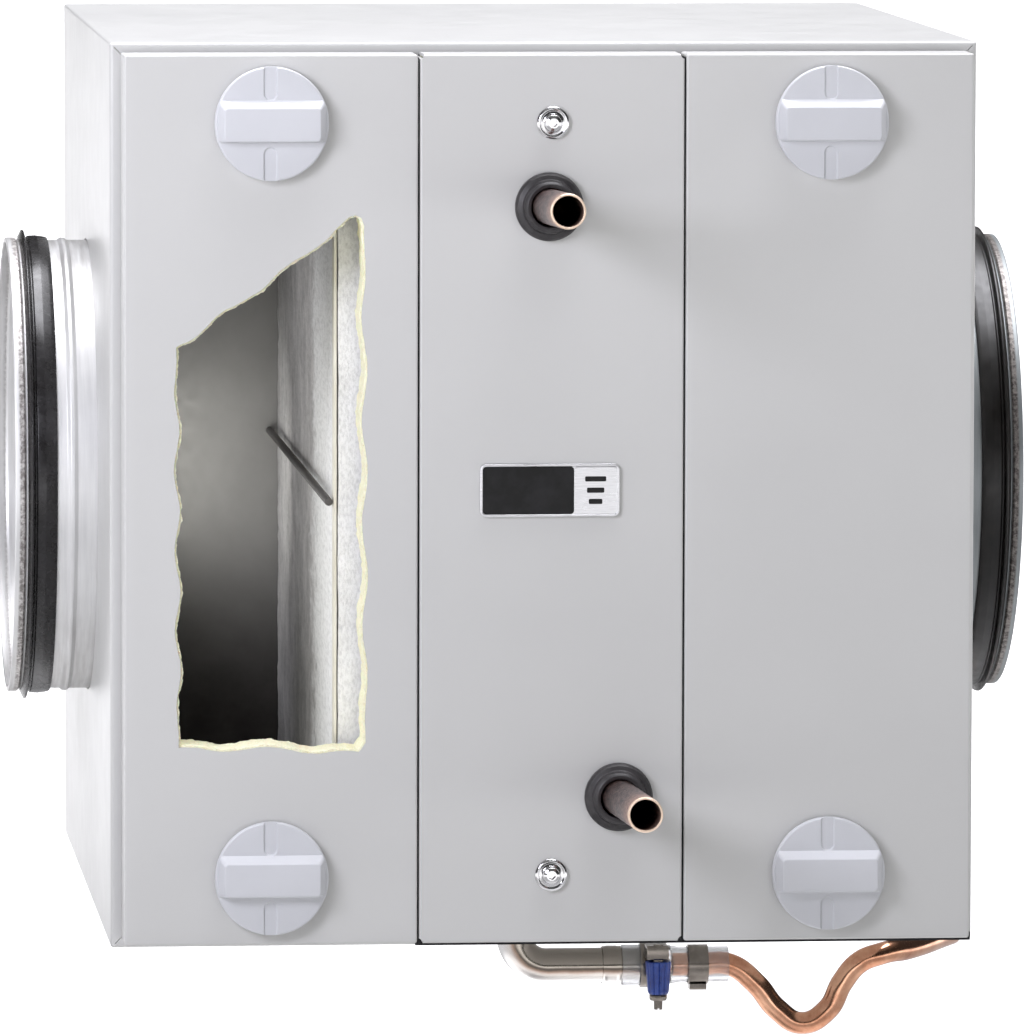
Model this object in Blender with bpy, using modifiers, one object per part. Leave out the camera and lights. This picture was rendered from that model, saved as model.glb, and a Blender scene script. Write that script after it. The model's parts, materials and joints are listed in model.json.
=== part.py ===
"""Duct-mounted air heating and cooling box: a wall-hung sheet-metal casing with two round duct spigots, two
latched doors, a fixed middle panel, a filter, a finned coil and a condensate drain with a trap.

Metres, +Z up. The front faces -Y. The origin is the middle of the back face, which lies against the wall.
"""

import math

import bmesh
import bpy
from mathutils import Matrix, Vector

# Casing
CASE_W = 0.370
CASE_H = 0.386
CASE_D = 0.400
SHEET = 0.0015
THIN_SHEET = 0.0008
GAP = 0.0003
FLANGE = 0.0185
LINER = 0.0182
FRONT = -CASE_D

# Doors and middle panel, which stand proud of the front flange
DOOR_BACK = FRONT - 0.002
DOOR_FACE = FRONT - 0.026
DOOR_TOP = 0.1889
DOOR_SHEET = 0.001
LEFT_DOOR = (-0.1804, -0.0563)
MIDDLE_PANEL = (-0.0549, 0.0567)
RIGHT_DOOR = (0.0581, 0.1805)
GASKET_W = 0.0085
MULLION_HALF = 0.0104
MULLION_X = (-0.0556, 0.0574)

# The left door's window: its corners in (x, z), with the waves of the side that starts there
WINDOW = [
    (-0.1585, 0.0655, 1, 0.0), (-0.1314, 0.0842, 0, 0.0), (-0.1221, 0.0897, 1, 0.5),
    (-0.0880, 0.1180, 0, 0.0), (-0.0836, 0.1206, 0, 0.0), (-0.0802, 0.1185, 0, 0.0),
    (-0.0788, 0.1150, 5, 0.37), (-0.0780, -0.1030, 0, 0.0), (-0.0810, -0.1068, 2, 0.25),
    (-0.1575, -0.1045, 5, 0.29),
]
WAVE_HEIGHT = 0.0012
STEPS_PER_WAVE = 6

# Latches
KNOB_X = {"left": -0.1182, "right": 0.1194}
KNOB_Z = {"top": 0.160, "bottom": -0.160}
KNOB_R = 0.0241
KNOB_DISC = 0.0052
KNOB_GRIP = 0.0105
BAR_Z = (-0.0080, 0.0102)
STUD_R = 0.004
STUD_HOLE_R = 0.0046
KEEPER_R = 0.0105
KEEPER_BORE_R = 0.009

# Duct spigots
SPIGOT_R = 0.0995
SPIGOT_WALL = 0.0009
SPIGOT_HOLE_R = 0.1002
SPIGOT_REACH = 0.0358
SPIGOT_Y = -0.200
SPIGOT_Z = -0.003

# Coil and its connection pipes
ROW_X = (0.0003, 0.0298)
HAIRPINS = 11
HAIRPIN_TOP = 0.143
HAIRPIN_PITCH = 0.028
HEADER_Y = -0.374
HEADER_R = 0.0095
COIL_TUBE_R = 0.0048
BEND_Y = -0.056
PIPE_R = 0.0075
PIPE_BORE_R = 0.0065
PIPE_REACH = 0.098
PIPE_RISE = math.radians(2.3)
PIPE_SPLAY = 0.014
PIPES = {"upper": (-0.0005, 0.1245, -1), "lower": (0.0297, -0.1268, 1)}
SCREW_X = 0.001
COIL_X = (-0.0155, 0.0450)
COIL_PLATE_X = (-0.0449, 0.0467)
COIL_Y = (FRONT + 0.0015, -0.026)
COIL_Z = (-0.160, 0.166)
FIN_Y = (-0.352, -0.060)
FIN_INSET = 0.002
FIN_PITCH = 0.0100
FIN_SLOT = 0.0060
SCREW_Z = {"top": 0.160, "bottom": -0.160}

# Filter
FILTER_X = (-0.0880, -0.0715)
FILTER_Y = (-0.3965, -0.0240)
FILTER_HALF = 0.1685
FILTER_RIM = 0.009
STIFFENER_R = 0.0017

# Condensate tray, under the coil
TRAY_X = (-0.040, 0.150)
TRAY_Y = (-0.372, -0.028)
TRAY_TOP = -0.1605
TRAY_WALL = 0.001

# Drain, in the plane through the spigots' axis
DRAIN_Y = -0.200
DRAIN_Z = -0.230
DRAIN_X = 0.0062
ELBOW_R = 0.0079
ELBOW_BORE_R = 0.0069
ELBOW_BEND = 0.0145
ELBOW_END = 0.0740
TRAP_R = 0.005
TRAP_BORE_R = 0.0041
KEY_X = 0.0695
KEY_Y = -0.2167

INNER_X = CASE_W / 2 - SHEET - GAP - LINER - THIN_SHEET - GAP
INNER_Z = CASE_H / 2 - SHEET - GAP - LINER - THIN_SHEET - GAP
INNER_BACK = -SHEET - GAP - LINER - THIN_SHEET - GAP


def clear_scene():
    for obj in list(bpy.data.objects):
        bpy.data.objects.remove(obj, do_unlink=True)


def collection(name):
    found = bpy.data.collections.new(name)
    bpy.context.scene.collection.children.link(found)
    return found


def material(name, colour, roughness, metallic=0.0, alpha=1.0):
    found = bpy.data.materials.get(name)
    if found:
        return found
    made = bpy.data.materials.new(name)
    made.use_nodes = True
    shader = made.node_tree.nodes["Principled BSDF"]
    shader.inputs["Base Color"].default_value = (*colour, 1.0)
    shader.inputs["Roughness"].default_value = roughness
    shader.inputs["Metallic"].default_value = metallic
    shader.inputs["Alpha"].default_value = alpha
    made.diffuse_color = (*colour, 1.0)
    return made


clear_scene()
PARTS = collection("air_coil_box")
CUTTERS = collection("cutters")
CUTTERS.hide_render = True

POWDER = material("powder_coat", (0.66, 0.66, 0.67), 0.45)
GALVANISED = material("galvanised_sheet", (0.56, 0.57, 0.58), 0.35, 1.0)
DARK_SHEET = material("inner_sheet", (0.20, 0.20, 0.20), 0.3, 0.3)
FOAM = material("pale_foam", (0.86, 0.83, 0.60), 0.9)
SEALING = material("gasket_rubber", (0.03, 0.03, 0.03), 0.8)
RUBBER = material("black_rubber", (0.02, 0.02, 0.022), 0.55)
PLASTIC = material("grey_plastic", (0.70, 0.70, 0.72), 0.4)
STEEL = material("bright_steel", (0.75, 0.75, 0.76), 0.2, 1.0)
COPPER = material("copper", (0.72, 0.40, 0.28), 0.3, 1.0)
ALUMINIUM = material("fin_aluminium", (0.78, 0.79, 0.80), 0.4, 1.0)
FLEECE = material("white_fleece", (0.80, 0.80, 0.78), 0.95)
FRAME = material("filter_frame_sheet", (0.78, 0.76, 0.68), 0.5)
DARK_ROD = material("dark_rod", (0.10, 0.10, 0.10), 0.5)
BADGE = material("badge_plate", (0.03, 0.03, 0.03), 0.3)
CLEAR = material("clear_hose", (0.85, 0.87, 0.88), 0.1, 0.0, 0.5)
BLUE = material("blue_plastic", (0.02, 0.07, 0.35), 0.35)


def add_object(name, mesh, mat, helper=False):
    obj = bpy.data.objects.new(name, mesh)
    (CUTTERS if helper else PARTS).objects.link(obj)
    if helper:
        obj.hide_render = True
        obj.display_type = "WIRE"
    else:
        mesh.materials.append(mat)
    return obj


def smooth(obj, angle=0.6):
    """Shades round faces smooth and keeps edges sharper than the angle."""
    mesh = obj.data
    mesh.shade_smooth()
    mesh.set_sharp_from_angle(angle=angle)
    return obj


def box(name, low, high, mat=None, bevel=0.0, helper=False):
    """An upright box between two opposite corners, with its origin at its middle."""
    low, high = Vector(low), Vector(high)
    shape = bmesh.new()
    bmesh.ops.create_cube(shape, size=1.0, matrix=Matrix.Diagonal((*(high - low), 1.0)))
    mesh = bpy.data.meshes.new(name)
    shape.to_mesh(mesh)
    shape.free()
    obj = add_object(name, mesh, mat, helper)
    obj.location = (low + high) / 2
    if bevel:
        rounding = obj.modifiers.new("edges", "BEVEL")
        rounding.width = bevel
        rounding.segments = 2
    return obj


AXES = {"x": Matrix.Rotation(math.pi / 2, 4, "Y"), "y": Matrix.Rotation(-math.pi / 2, 4, "X"), "z": Matrix()}


def rod(name, middle, radius, length, axis, mat=None, sides=24, helper=False, turn=None):
    """A plain cylinder about an axis, centred on a point."""
    shape = bmesh.new()
    bmesh.ops.create_cone(shape, cap_ends=True, segments=sides, radius1=radius, radius2=radius, depth=length)
    mesh = bpy.data.meshes.new(name)
    shape.to_mesh(mesh)
    shape.free()
    obj = add_object(name, mesh, mat, helper)
    obj.matrix_world = Matrix.Translation(middle) @ (turn or Matrix()) @ AXES[axis]
    return obj if helper else smooth(obj)


def turned(name, profile, place, mat, steps=40, helper=False):
    """A turned solid: (radius, height) points run down the outer side, then back up the bore to close."""
    mesh = bpy.data.meshes.new(name)
    count = len(profile)
    edges = [(i, (i + 1) % count) for i in range(count)]
    mesh.from_pydata([(radius, 0.0, height) for radius, height in profile], edges, [])
    obj = add_object(name, mesh, mat, helper)
    obj.matrix_world = place
    screw = obj.modifiers.new("turn", "SCREW")
    screw.steps = steps
    screw.render_steps = steps
    screw.use_merge_vertices = True
    screw.merge_threshold = 0.00001
    screw.use_smooth_shade = True
    screw.use_normal_calculate = False
    return obj


def tube(name, points, radius, mat=None, sides=12, helper=False, curved=None):
    """A round tube along a route: straight between points, or a smooth curve through them."""
    curve = bpy.data.curves.new(name, "CURVE")
    curve.dimensions = "3D"
    if curved:
        spline = curve.splines.new("BEZIER")
        spline.bezier_points.add(len(points) - 1)
        for knot, point in zip(spline.bezier_points, points):
            knot.co = point
            knot.handle_left_type = knot.handle_right_type = "AUTO"
        curve.resolution_u = curved
    else:
        spline = curve.splines.new("POLY")
        spline.points.add(len(points) - 1)
        for knot, point in zip(spline.points, points):
            knot.co = (*point, 1.0)
    curve.bevel_depth = radius
    curve.bevel_resolution = sides // 4 - 1
    curve.use_fill_caps = True
    route = bpy.data.objects.new(name + "_route", curve)
    CUTTERS.objects.link(route)
    bpy.context.view_layer.update()
    mesh = bpy.data.meshes.new_from_object(route.evaluated_get(bpy.context.evaluated_depsgraph_get()))
    bpy.data.objects.remove(route)
    shape = bmesh.new()
    shape.from_mesh(mesh)
    bmesh.ops.remove_doubles(shape, verts=shape.verts, dist=0.00001)
    bmesh.ops.recalc_face_normals(shape, faces=shape.faces)
    shape.to_mesh(mesh)
    shape.free()
    mesh.materials.clear()
    mesh.name = name
    obj = add_object(name, mesh, mat, helper)
    return obj if helper else smooth(obj)


def combine(obj, other, operation="DIFFERENCE"):
    step = obj.modifiers.new(other.name, "BOOLEAN")
    step.operation = operation
    step.solver = "EXACT"
    step.object = other
    return obj


def carry(obj, place):
    """Moves a box from its own frame into another one."""
    bpy.context.view_layer.update()
    obj.matrix_world = place @ obj.matrix_world


def parent_keep(obj, parent):
    """Parents an object and leaves it where it is."""
    bpy.context.view_layer.update()
    obj.parent = parent
    obj.matrix_parent_inverse = parent.matrix_world.inverted()


def arc(centre, start, end, radius, count, flat):
    """Points of an arc in the plane that the function flat maps (u, v) into."""
    found = []
    for i in range(count + 1):
        angle = math.radians(start + (end - start) * i / count)
        found.append(flat(centre[0] + radius * math.cos(angle), centre[1] + radius * math.sin(angle)))
    return found


def build_casing():
    half_w, half_h = CASE_W / 2, CASE_H / 2
    casing = box("casing", (-half_w, FRONT, -half_h), (half_w, 0, half_h), POWDER, bevel=0.0012)
    inner = (half_w - SHEET, half_h - SHEET)
    low, high = (-inner[0], FRONT + SHEET, -inner[1]), (inner[0], 0.01, inner[1])
    combine(casing, box("casing_inside", low, high, helper=True))
    mouth = (half_w - FLANGE, half_h - FLANGE)
    low, high = (-mouth[0], FRONT - 0.01, -mouth[1]), (mouth[0], FRONT + 0.01, mouth[1])
    combine(casing, box("casing_mouth", low, high, helper=True))
    edge = (inner[0] - GAP, inner[1] - GAP)
    box("back_panel", (-edge[0], -SHEET, -edge[1]), (edge[0], 0, edge[1]), POWDER)
    liner_front = FRONT + SHEET + GAP
    liner_low = (-edge[0], liner_front, -edge[1])
    liner = box("insulation_liner", liner_low, (edge[0], -SHEET - GAP, edge[1]), FOAM)
    cavity = (edge[0] - LINER, edge[1] - LINER)
    low, high = (-cavity[0], FRONT - 0.01, -cavity[1]), (cavity[0], -SHEET - GAP - LINER, cavity[1])
    combine(liner, box("liner_cavity", low, high, helper=True))
    shell = (cavity[0] - GAP, cavity[1] - GAP)
    shell_low = (-shell[0], FRONT + GAP, -shell[1])
    inner_shell = box("inner_shell", shell_low, (shell[0], INNER_BACK + THIN_SHEET, shell[1]), DARK_SHEET)
    low, high = (-INNER_X, FRONT - 0.01, -INNER_Z), (INNER_X, INNER_BACK, INNER_Z)
    combine(inner_shell, box("shell_cavity", low, high, helper=True))
    duct = rod("duct_hole", (0, SPIGOT_Y, SPIGOT_Z), SPIGOT_HOLE_R, CASE_W + 0.02, "x", sides=40, helper=True)
    drain = rod("drain_hole", (DRAIN_X, DRAIN_Y, -INNER_Z - 0.01), ELBOW_R + 0.0004, 0.05, "z", helper=True)
    for shell_part in (casing, liner, inner_shell):
        combine(shell_part, duct)
        combine(shell_part, drain)
    for side, x in zip(("left", "right"), MULLION_X):
        low, high = (x - MULLION_HALF, FRONT, -INNER_Z + GAP), (x + MULLION_HALF, FRONT + 0.020, INNER_Z - GAP)
        box("mullion_" + side, low, high, GALVANISED, bevel=0.0008)


def build_spigots():
    reach, radius, bore = SPIGOT_REACH, SPIGOT_R, SPIGOT_R - SPIGOT_WALL
    inner_end = -(CASE_W / 2 - INNER_X) + GAP
    bead, flare = radius + 0.0011, radius + 0.0040
    body = [
        (bore, reach), (radius + 0.0012, reach), (radius + 0.0012, reach - 0.0040), (radius, reach - 0.0050),
        (radius, 0.0126), (bead, 0.0114), (bead, 0.0100), (radius, 0.0088), (radius, inner_end - 2 * GAP),
        (flare, inner_end - 2 * GAP), (flare, inner_end - 0.0016), (bore, inner_end - 0.0016),
    ]
    lips = [
        (radius + GAP, 0.0302), (radius + 0.0013, 0.0302), (radius + 0.0046, 0.0286),
        (radius + 0.0044, 0.0278), (radius + 0.0013, 0.0272), (radius + 0.0012, 0.0264),
        (radius + 0.0019, 0.0260), (radius + 0.0021, 0.0225),
        (radius + 0.0016, 0.0190), (radius + 0.0012, 0.0174), (radius + GAP, 0.0174),
    ]
    for side, sign in (("left", -1), ("right", 1)):
        face = Matrix.Translation((sign * CASE_W / 2, SPIGOT_Y, SPIGOT_Z))
        place = face @ Matrix.Rotation(sign * math.pi / 2, 4, "Y")
        turned("spigot_" + side, body, place, GALVANISED)
        turned("lip_seal_" + side, lips, place, RUBBER)


def window_outline():
    """The ragged opening's outline in (x, z): its corners, joined by sides with a slow wave."""
    points = []
    for i, (x, z, waves, phase) in enumerate(WINDOW):
        start, end = Vector((x, z)), Vector(WINDOW[(i + 1) % len(WINDOW)][:2])
        side = end - start
        normal = Vector((side.y, -side.x)).normalized()
        count = max(1, waves * STEPS_PER_WAVE)
        for j in range(count):
            share = j / count
            fade = min(1.0, 6 * share, 6 * (1 - share))
            lift = WAVE_HEIGHT * fade * math.sin(2 * math.pi * (waves * share + phase)) if waves else 0.0
            points.append(start + side * share + normal * lift)
    return points


def window_cutter():
    curve = bpy.data.curves.new("window_outline", "CURVE")
    curve.dimensions = "2D"
    curve.fill_mode = "BOTH"
    curve.extrude = 0.03
    outline = window_outline()
    spline = curve.splines.new("POLY")
    spline.points.add(len(outline) - 1)
    for knot, (x, z) in zip(spline.points, outline):
        knot.co = (x, z, 0.0, 1.0)
    spline.use_cyclic_u = True
    route = bpy.data.objects.new("window_route", curve)
    CUTTERS.objects.link(route)
    bpy.context.view_layer.update()
    mesh = bpy.data.meshes.new_from_object(route.evaluated_get(bpy.context.evaluated_depsgraph_get()))
    bpy.data.objects.remove(route)
    shape = bmesh.new()
    shape.from_mesh(mesh)
    bmesh.ops.remove_doubles(shape, verts=shape.verts, dist=0.00001)
    bmesh.ops.recalc_face_normals(shape, faces=shape.faces)
    shape.to_mesh(mesh)
    shape.free()
    cutter = add_object("window", mesh, None, helper=True)
    cutter.matrix_world = Matrix.Translation((0, DOOR_FACE, 0)) @ Matrix.Rotation(math.pi / 2, 4, "X")
    return cutter


def build_panel(name, sides, holes):
    """A sheet tray, its foam, its inner sheet and its gasket. A hole is (x, z, skin radius, inner radius)."""
    x0, x1 = sides
    low, high = (x0, DOOR_FACE, -DOOR_TOP), (x1, DOOR_BACK, DOOR_TOP)
    skin = box(name + "_skin", low, high, POWDER, bevel=0.0011)
    wall = DOOR_SHEET
    low, high = (x0 + wall, DOOR_FACE + wall, -DOOR_TOP + wall), (x1 - wall, FRONT + 0.01, DOOR_TOP - wall)
    combine(skin, box(name + "_pan", low, high, helper=True))
    inset = wall + GAP
    low = (x0 + inset, DOOR_FACE + inset, -DOOR_TOP + inset)
    high = (x1 - inset, DOOR_BACK - THIN_SHEET - GAP, DOOR_TOP - inset)
    foam = box(name + "_insulation", low, high, FOAM)
    low = (x0 + inset, DOOR_BACK - THIN_SHEET, -DOOR_TOP + inset)
    inner = box(name + "_inner_skin", low, (x1 - inset, DOOR_BACK, DOOR_TOP - inset), GALVANISED)
    edge = 0.001
    low, high = (x0 + edge, DOOR_BACK + GAP, -DOOR_TOP + edge), (x1 - edge, FRONT - GAP, DOOR_TOP - edge)
    gasket = box(name + "_gasket", low, high, SEALING)
    edge += GASKET_W
    low, high = (x0 + edge, DOOR_BACK - 0.01, -DOOR_TOP + edge), (x1 - edge, FRONT + 0.01, DOOR_TOP - edge)
    combine(gasket, box(name + "_gasket_hole", low, high, helper=True))
    for i, (x, z, skin_r, inner_r) in enumerate(holes):
        middle = (x, DOOR_BACK, z)
        combine(skin, rod(f"{name}_skin_hole_{i}", middle, skin_r, 0.06, "y", sides=20, helper=True))
        wide = rod(f"{name}_inner_hole_{i}", middle, inner_r, 0.06, "y", sides=20, helper=True)
        combine(foam, wide)
        combine(inner, wide)
    return skin, foam, inner, gasket


def knob_mesh(name, x, z):
    """A round knob: a disc, a grip bar across it that slopes on top, and a shallow groove above and below."""
    face = DOOR_FACE - GAP
    radius, disc = KNOB_R, KNOB_DISC
    profile = [(0, disc), (radius - 0.0026, disc), (radius - 0.0008, disc - 0.0007), (radius, disc - 0.0020),
               (radius, 0.0), (0, 0.0)]
    place = Matrix.Translation((x, face, z)) @ Matrix.Rotation(math.pi / 2, 4, "X")
    knob = turned(name, profile, place, PLASTIC, steps=36)
    bar = box(name + "_bar", (-0.0227, BAR_Z[0], disc - 0.001), (0.0227, BAR_Z[1], KNOB_GRIP), helper=True)
    for vertex in bar.data.vertices:
        if vertex.co.z > 0:
            vertex.co.x *= 0.90
            vertex.co.y += 0.0006 if vertex.co.y < 0 else -0.0031
    rounding = bar.modifiers.new("edges", "BEVEL")
    rounding.width = 0.001
    rounding.segments = 1
    carry(bar, place)
    combine(knob, bar, "UNION")
    for i, sign in enumerate((1, -1)):
        low, high = (-0.0037, sign * 0.0106, disc - 0.0008), (0.0025, sign * 0.030, disc + 0.01)
        low, high = [tuple(f(a, b) for a, b in zip(low, high)) for f in (min, max)]
        groove = box(f"{name}_groove_{i}", low, high, helper=True)
        carry(groove, place)
        combine(knob, groove)
    return knob


def build_latch(side, level, door):
    """A quarter-turn knob with its stud, on an empty on the axis, and the keeper cup behind the door."""
    x, z = KNOB_X[side], KNOB_Z[level]
    where = f"{side}_{level}"
    pivot = bpy.data.objects.new("latch_pivot_" + where, None)
    PARTS.objects.link(pivot)
    pivot.location = (x, DOOR_FACE, z)
    knob = knob_mesh("knob_" + where, x, z)
    start, end = DOOR_FACE, FRONT + 0.014
    stud = rod("latch_stud_" + where, (x, (start + end) / 2, z), STUD_R, end - start, "y", STEEL, sides=20)
    low, high = (x - 0.0078, end - 0.005, z - 0.0016), (x + 0.0078, end - 0.001, z + 0.0016)
    cross = box("stud_cross_" + where, low, high, helper=True)
    combine(stud, cross, "UNION")
    up = 1 if z > 0 else -1
    rim = FRONT + 0.002
    cup = rod("keeper_" + where, (x, rim + 0.009, z), KEEPER_R, 0.018, "y", GALVANISED)
    low = (x - 0.007, rim + 0.001, min(z, up * (INNER_Z - GAP)))
    high = (x + 0.007, rim + 0.017, max(z, up * (INNER_Z - GAP)))
    combine(cup, box("keeper_foot_" + where, low, high, helper=True), "UNION")
    combine(cup, rod("keeper_bore_" + where, (x, rim + 0.006, z), KEEPER_BORE_R, 0.020, "y", helper=True))
    parent_keep(knob, pivot)
    parent_keep(stud, pivot)
    parent_keep(pivot, door)


def build_doors():
    cutter = window_cutter()
    for side, sides in (("left", LEFT_DOOR), ("right", RIGHT_DOOR)):
        holes = [(KNOB_X[side], z, STUD_HOLE_R, STUD_HOLE_R) for z in KNOB_Z.values()]
        skin, foam, inner, gasket = build_panel(side + "_door", sides, holes)
        if side == "left":
            for layer in (skin, foam, inner):
                combine(layer, cutter)
        for layer in (foam, inner, gasket):
            parent_keep(layer, skin)
        for level in KNOB_Z:
            build_latch(side, level, skin)


def build_middle_panel():
    holes = [(x, z, 0.0105, 0.0125) for x, z, _ in PIPES.values()]
    holes += [(SCREW_X, z, 0.0027, 0.0034) for z in SCREW_Z.values()]
    build_panel("middle_panel", MIDDLE_PANEL, holes)
    head = [(0, 0.0040), (0.0030, 0.0038), (0.0038, 0.0026), (0.0040, 0.0014), (0.0066, 0.0010), (0.0069, 0.0),
            (0.0022, 0.0), (0.0022, -0.0305), (0, -0.0305)]
    for level, z in SCREW_Z.items():
        place = Matrix.Translation((SCREW_X, DOOR_FACE - GAP, z)) @ Matrix.Rotation(math.pi / 2, 4, "X")
        screw = turned("panel_screw_" + level, head, place, STEEL, steps=18)
        socket = rod("screw_socket_" + level, (SCREW_X, DOOR_FACE - 0.0040, z), 0.0018, 0.0042, "y",
                     sides=6, helper=True)
        combine(screw, socket)
    sleeve = [(0.0083, 0.0086), (0.0104, 0.0084), (0.0112, 0.0074), (0.0114, 0.0050), (0.0138, 0.0042),
              (0.0146, 0.0030), (0.0146, 0.0), (0.0102, 0.0), (0.0102, -0.0045), (0.0083, -0.0045)]
    for level, (x, z, _) in PIPES.items():
        place = Matrix.Translation((x, DOOR_FACE - GAP, z)) @ Matrix.Rotation(math.pi / 2, 4, "X")
        turned("grommet_" + level, sleeve, place, RUBBER, steps=24)
    low, high = (-0.0297, DOOR_FACE - GAP - 0.0014, -0.0071), (0.0297, DOOR_FACE - GAP, 0.0155)
    box("badge", low, high, BADGE, bevel=0.0005)


def build_pipes():
    """The two connection pipes, which rise and splay a little on their way out."""
    for level, (x, z, splay) in PIPES.items():
        way = Vector((splay * PIPE_SPLAY, -math.cos(PIPE_RISE), math.sin(PIPE_RISE)))
        panel = Vector((x, DOOR_FACE, z))
        inner_end = panel - way * ((HEADER_Y - HEADER_R - 2 * GAP) - DOOR_FACE)
        outer_end = panel + way * PIPE_REACH
        pipe = tube("pipe_" + level, [inner_end, outer_end], PIPE_R, COPPER, sides=24)
        bore = tube("pipe_bore_" + level, [inner_end - way * 0.002, outer_end + way * 0.01], PIPE_BORE_R,
                    sides=24, helper=True)
        combine(pipe, bore)


def build_coil_frame():
    """The plate box round the fins, open at both sides, with a wider plate at the front for the headers."""
    (x0, x1), (y0, y1), (z0, z1) = COIL_X, COIL_Y, COIL_Z
    frame = box("coil_frame", (x0, y0, z0), (x1, y1, z1), GALVANISED)
    plate = box("coil_front_plate", (COIL_PLATE_X[0], y0, z0), (COIL_PLATE_X[1], y0 + SHEET, z1), helper=True)
    combine(frame, plate, "UNION")
    low, high = (x0 - 0.1, y0 + SHEET, z0 + SHEET), (x1 + 0.1, y1 - SHEET, z1 - SHEET)
    combine(frame, box("coil_frame_inside", low, high, helper=True))
    for level, (x, z, _) in PIPES.items():
        combine(frame, rod("frame_hole_" + level, (x, y0, z - 0.0010), 0.0098, 0.03, "y", helper=True))
    for level, z in SCREW_Z.items():
        hole = rod("frame_screw_hole_" + level, (SCREW_X, y0, z), 0.0026, 0.03, "y", sides=12, helper=True)
        combine(frame, hole)


def build_coil():
    """The two headers, the hairpin tube between them on each level, and the fins round the tubes."""
    levels = [HAIRPIN_TOP - i * HAIRPIN_PITCH for i in range(HAIRPINS)]
    centre, bend = sum(ROW_X) / 2, (ROW_X[1] - ROW_X[0]) / 2
    end = (levels[-1] - 0.009, levels[0] + 0.009)
    length, middle = end[1] - end[0], (end[0] + end[1]) / 2
    tubes, second = [rod(name, (x, HEADER_Y, middle), HEADER_R, length, "z", COPPER, sides=16, helper=helper)
                     for name, x, helper in
                     (("coil_tubes", ROW_X[0], False), ("second_header", ROW_X[1], True))]
    combine(tubes, second, "UNION")
    x0, x1 = COIL_X[0] + FIN_INSET, COIL_X[1] - FIN_INSET
    y0, y1 = FIN_Y
    low_z, high_z = COIL_Z[0] + SHEET + FIN_INSET, COIL_Z[1] - SHEET - FIN_INSET
    fins = box("fin_block", (x0, y0, low_z), (x1, y1, high_z), ALUMINIUM)
    for i, z in enumerate(levels):
        turn = arc((centre, BEND_Y), 180, 0, bend, 6, lambda u, v, z=z: (u, v, z))
        route = [(ROW_X[0], HEADER_Y, z), *turn, (ROW_X[1], HEADER_Y, z)]
        combine(tubes, tube(f"hairpin_{i}", route, COIL_TUBE_R, sides=8, helper=True), "UNION")
        for j, x in enumerate(ROW_X):
            hole = rod(f"fin_hole_{i}_{j}", (x, -0.2, z), COIL_TUBE_R + 3 * GAP, 0.4, "y", sides=8, helper=True)
            combine(fins, hole)
    for side, x in (("left", x0), ("right", x1)):
        low = (x - FIN_SLOT, y0 + FIN_SLOT, low_z - 0.01)
        high = (x + FIN_SLOT, y0 + 2 * FIN_SLOT, high_z + 0.01)
        slots = box("fin_slots_" + side, low, high, helper=True)
        row = slots.modifiers.new("row", "ARRAY")
        row.count = int((y1 - y0) / FIN_PITCH) - 1
        row.use_relative_offset = False
        row.use_constant_offset = True
        row.constant_offset_displace = (0, FIN_PITCH, 0)
        combine(fins, slots)


def build_filter():
    """The fleece pad, its frame round the front, top and bottom, the rod across it, and its guides."""
    x0, x1 = FILTER_X
    y0, y1 = FILTER_Y
    box("filter_fleece", (x0, y0, -FILTER_HALF), (x1, y1, FILTER_HALF), FLEECE, bevel=0.0008)
    frame = box("filter_frame", (x0 - 0.0015, y0, -FILTER_HALF), (x0 - GAP, y1, FILTER_HALF), FRAME)
    reach = FILTER_HALF - FILTER_RIM
    low, high = (x0 - 0.01, y0 + FILTER_RIM, -reach), (x0 + 0.01, y1 + 0.01, reach)
    combine(frame, box("filter_frame_hole", low, high, helper=True))
    length = y1 - y0 - 0.001
    rod("filter_stiffener", (x0 - 0.0036, (y0 + y1) / 2, -0.003), STIFFENER_R, length, "y", DARK_ROD, sides=12)
    for level, up in (("top", 1), ("bottom", -1)):
        roof, lip = up * (INNER_Z - GAP), up * 0.158
        low = (x0 - 0.0065, y0 + 0.002, min(roof, lip))
        high = (x1 + 0.0025, y1 - 0.001, max(roof, lip))
        guide = box("filter_guide_" + level, low, high, GALVANISED)
        web = up * (INNER_Z - GAP - 0.001)
        low = (x0 - 0.0055, y0 - 0.01, min(0, web))
        high = (x1 + 0.0015, y1 + 0.01, max(0, web))
        combine(guide, box("guide_slot_" + level, low, high, helper=True))


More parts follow.
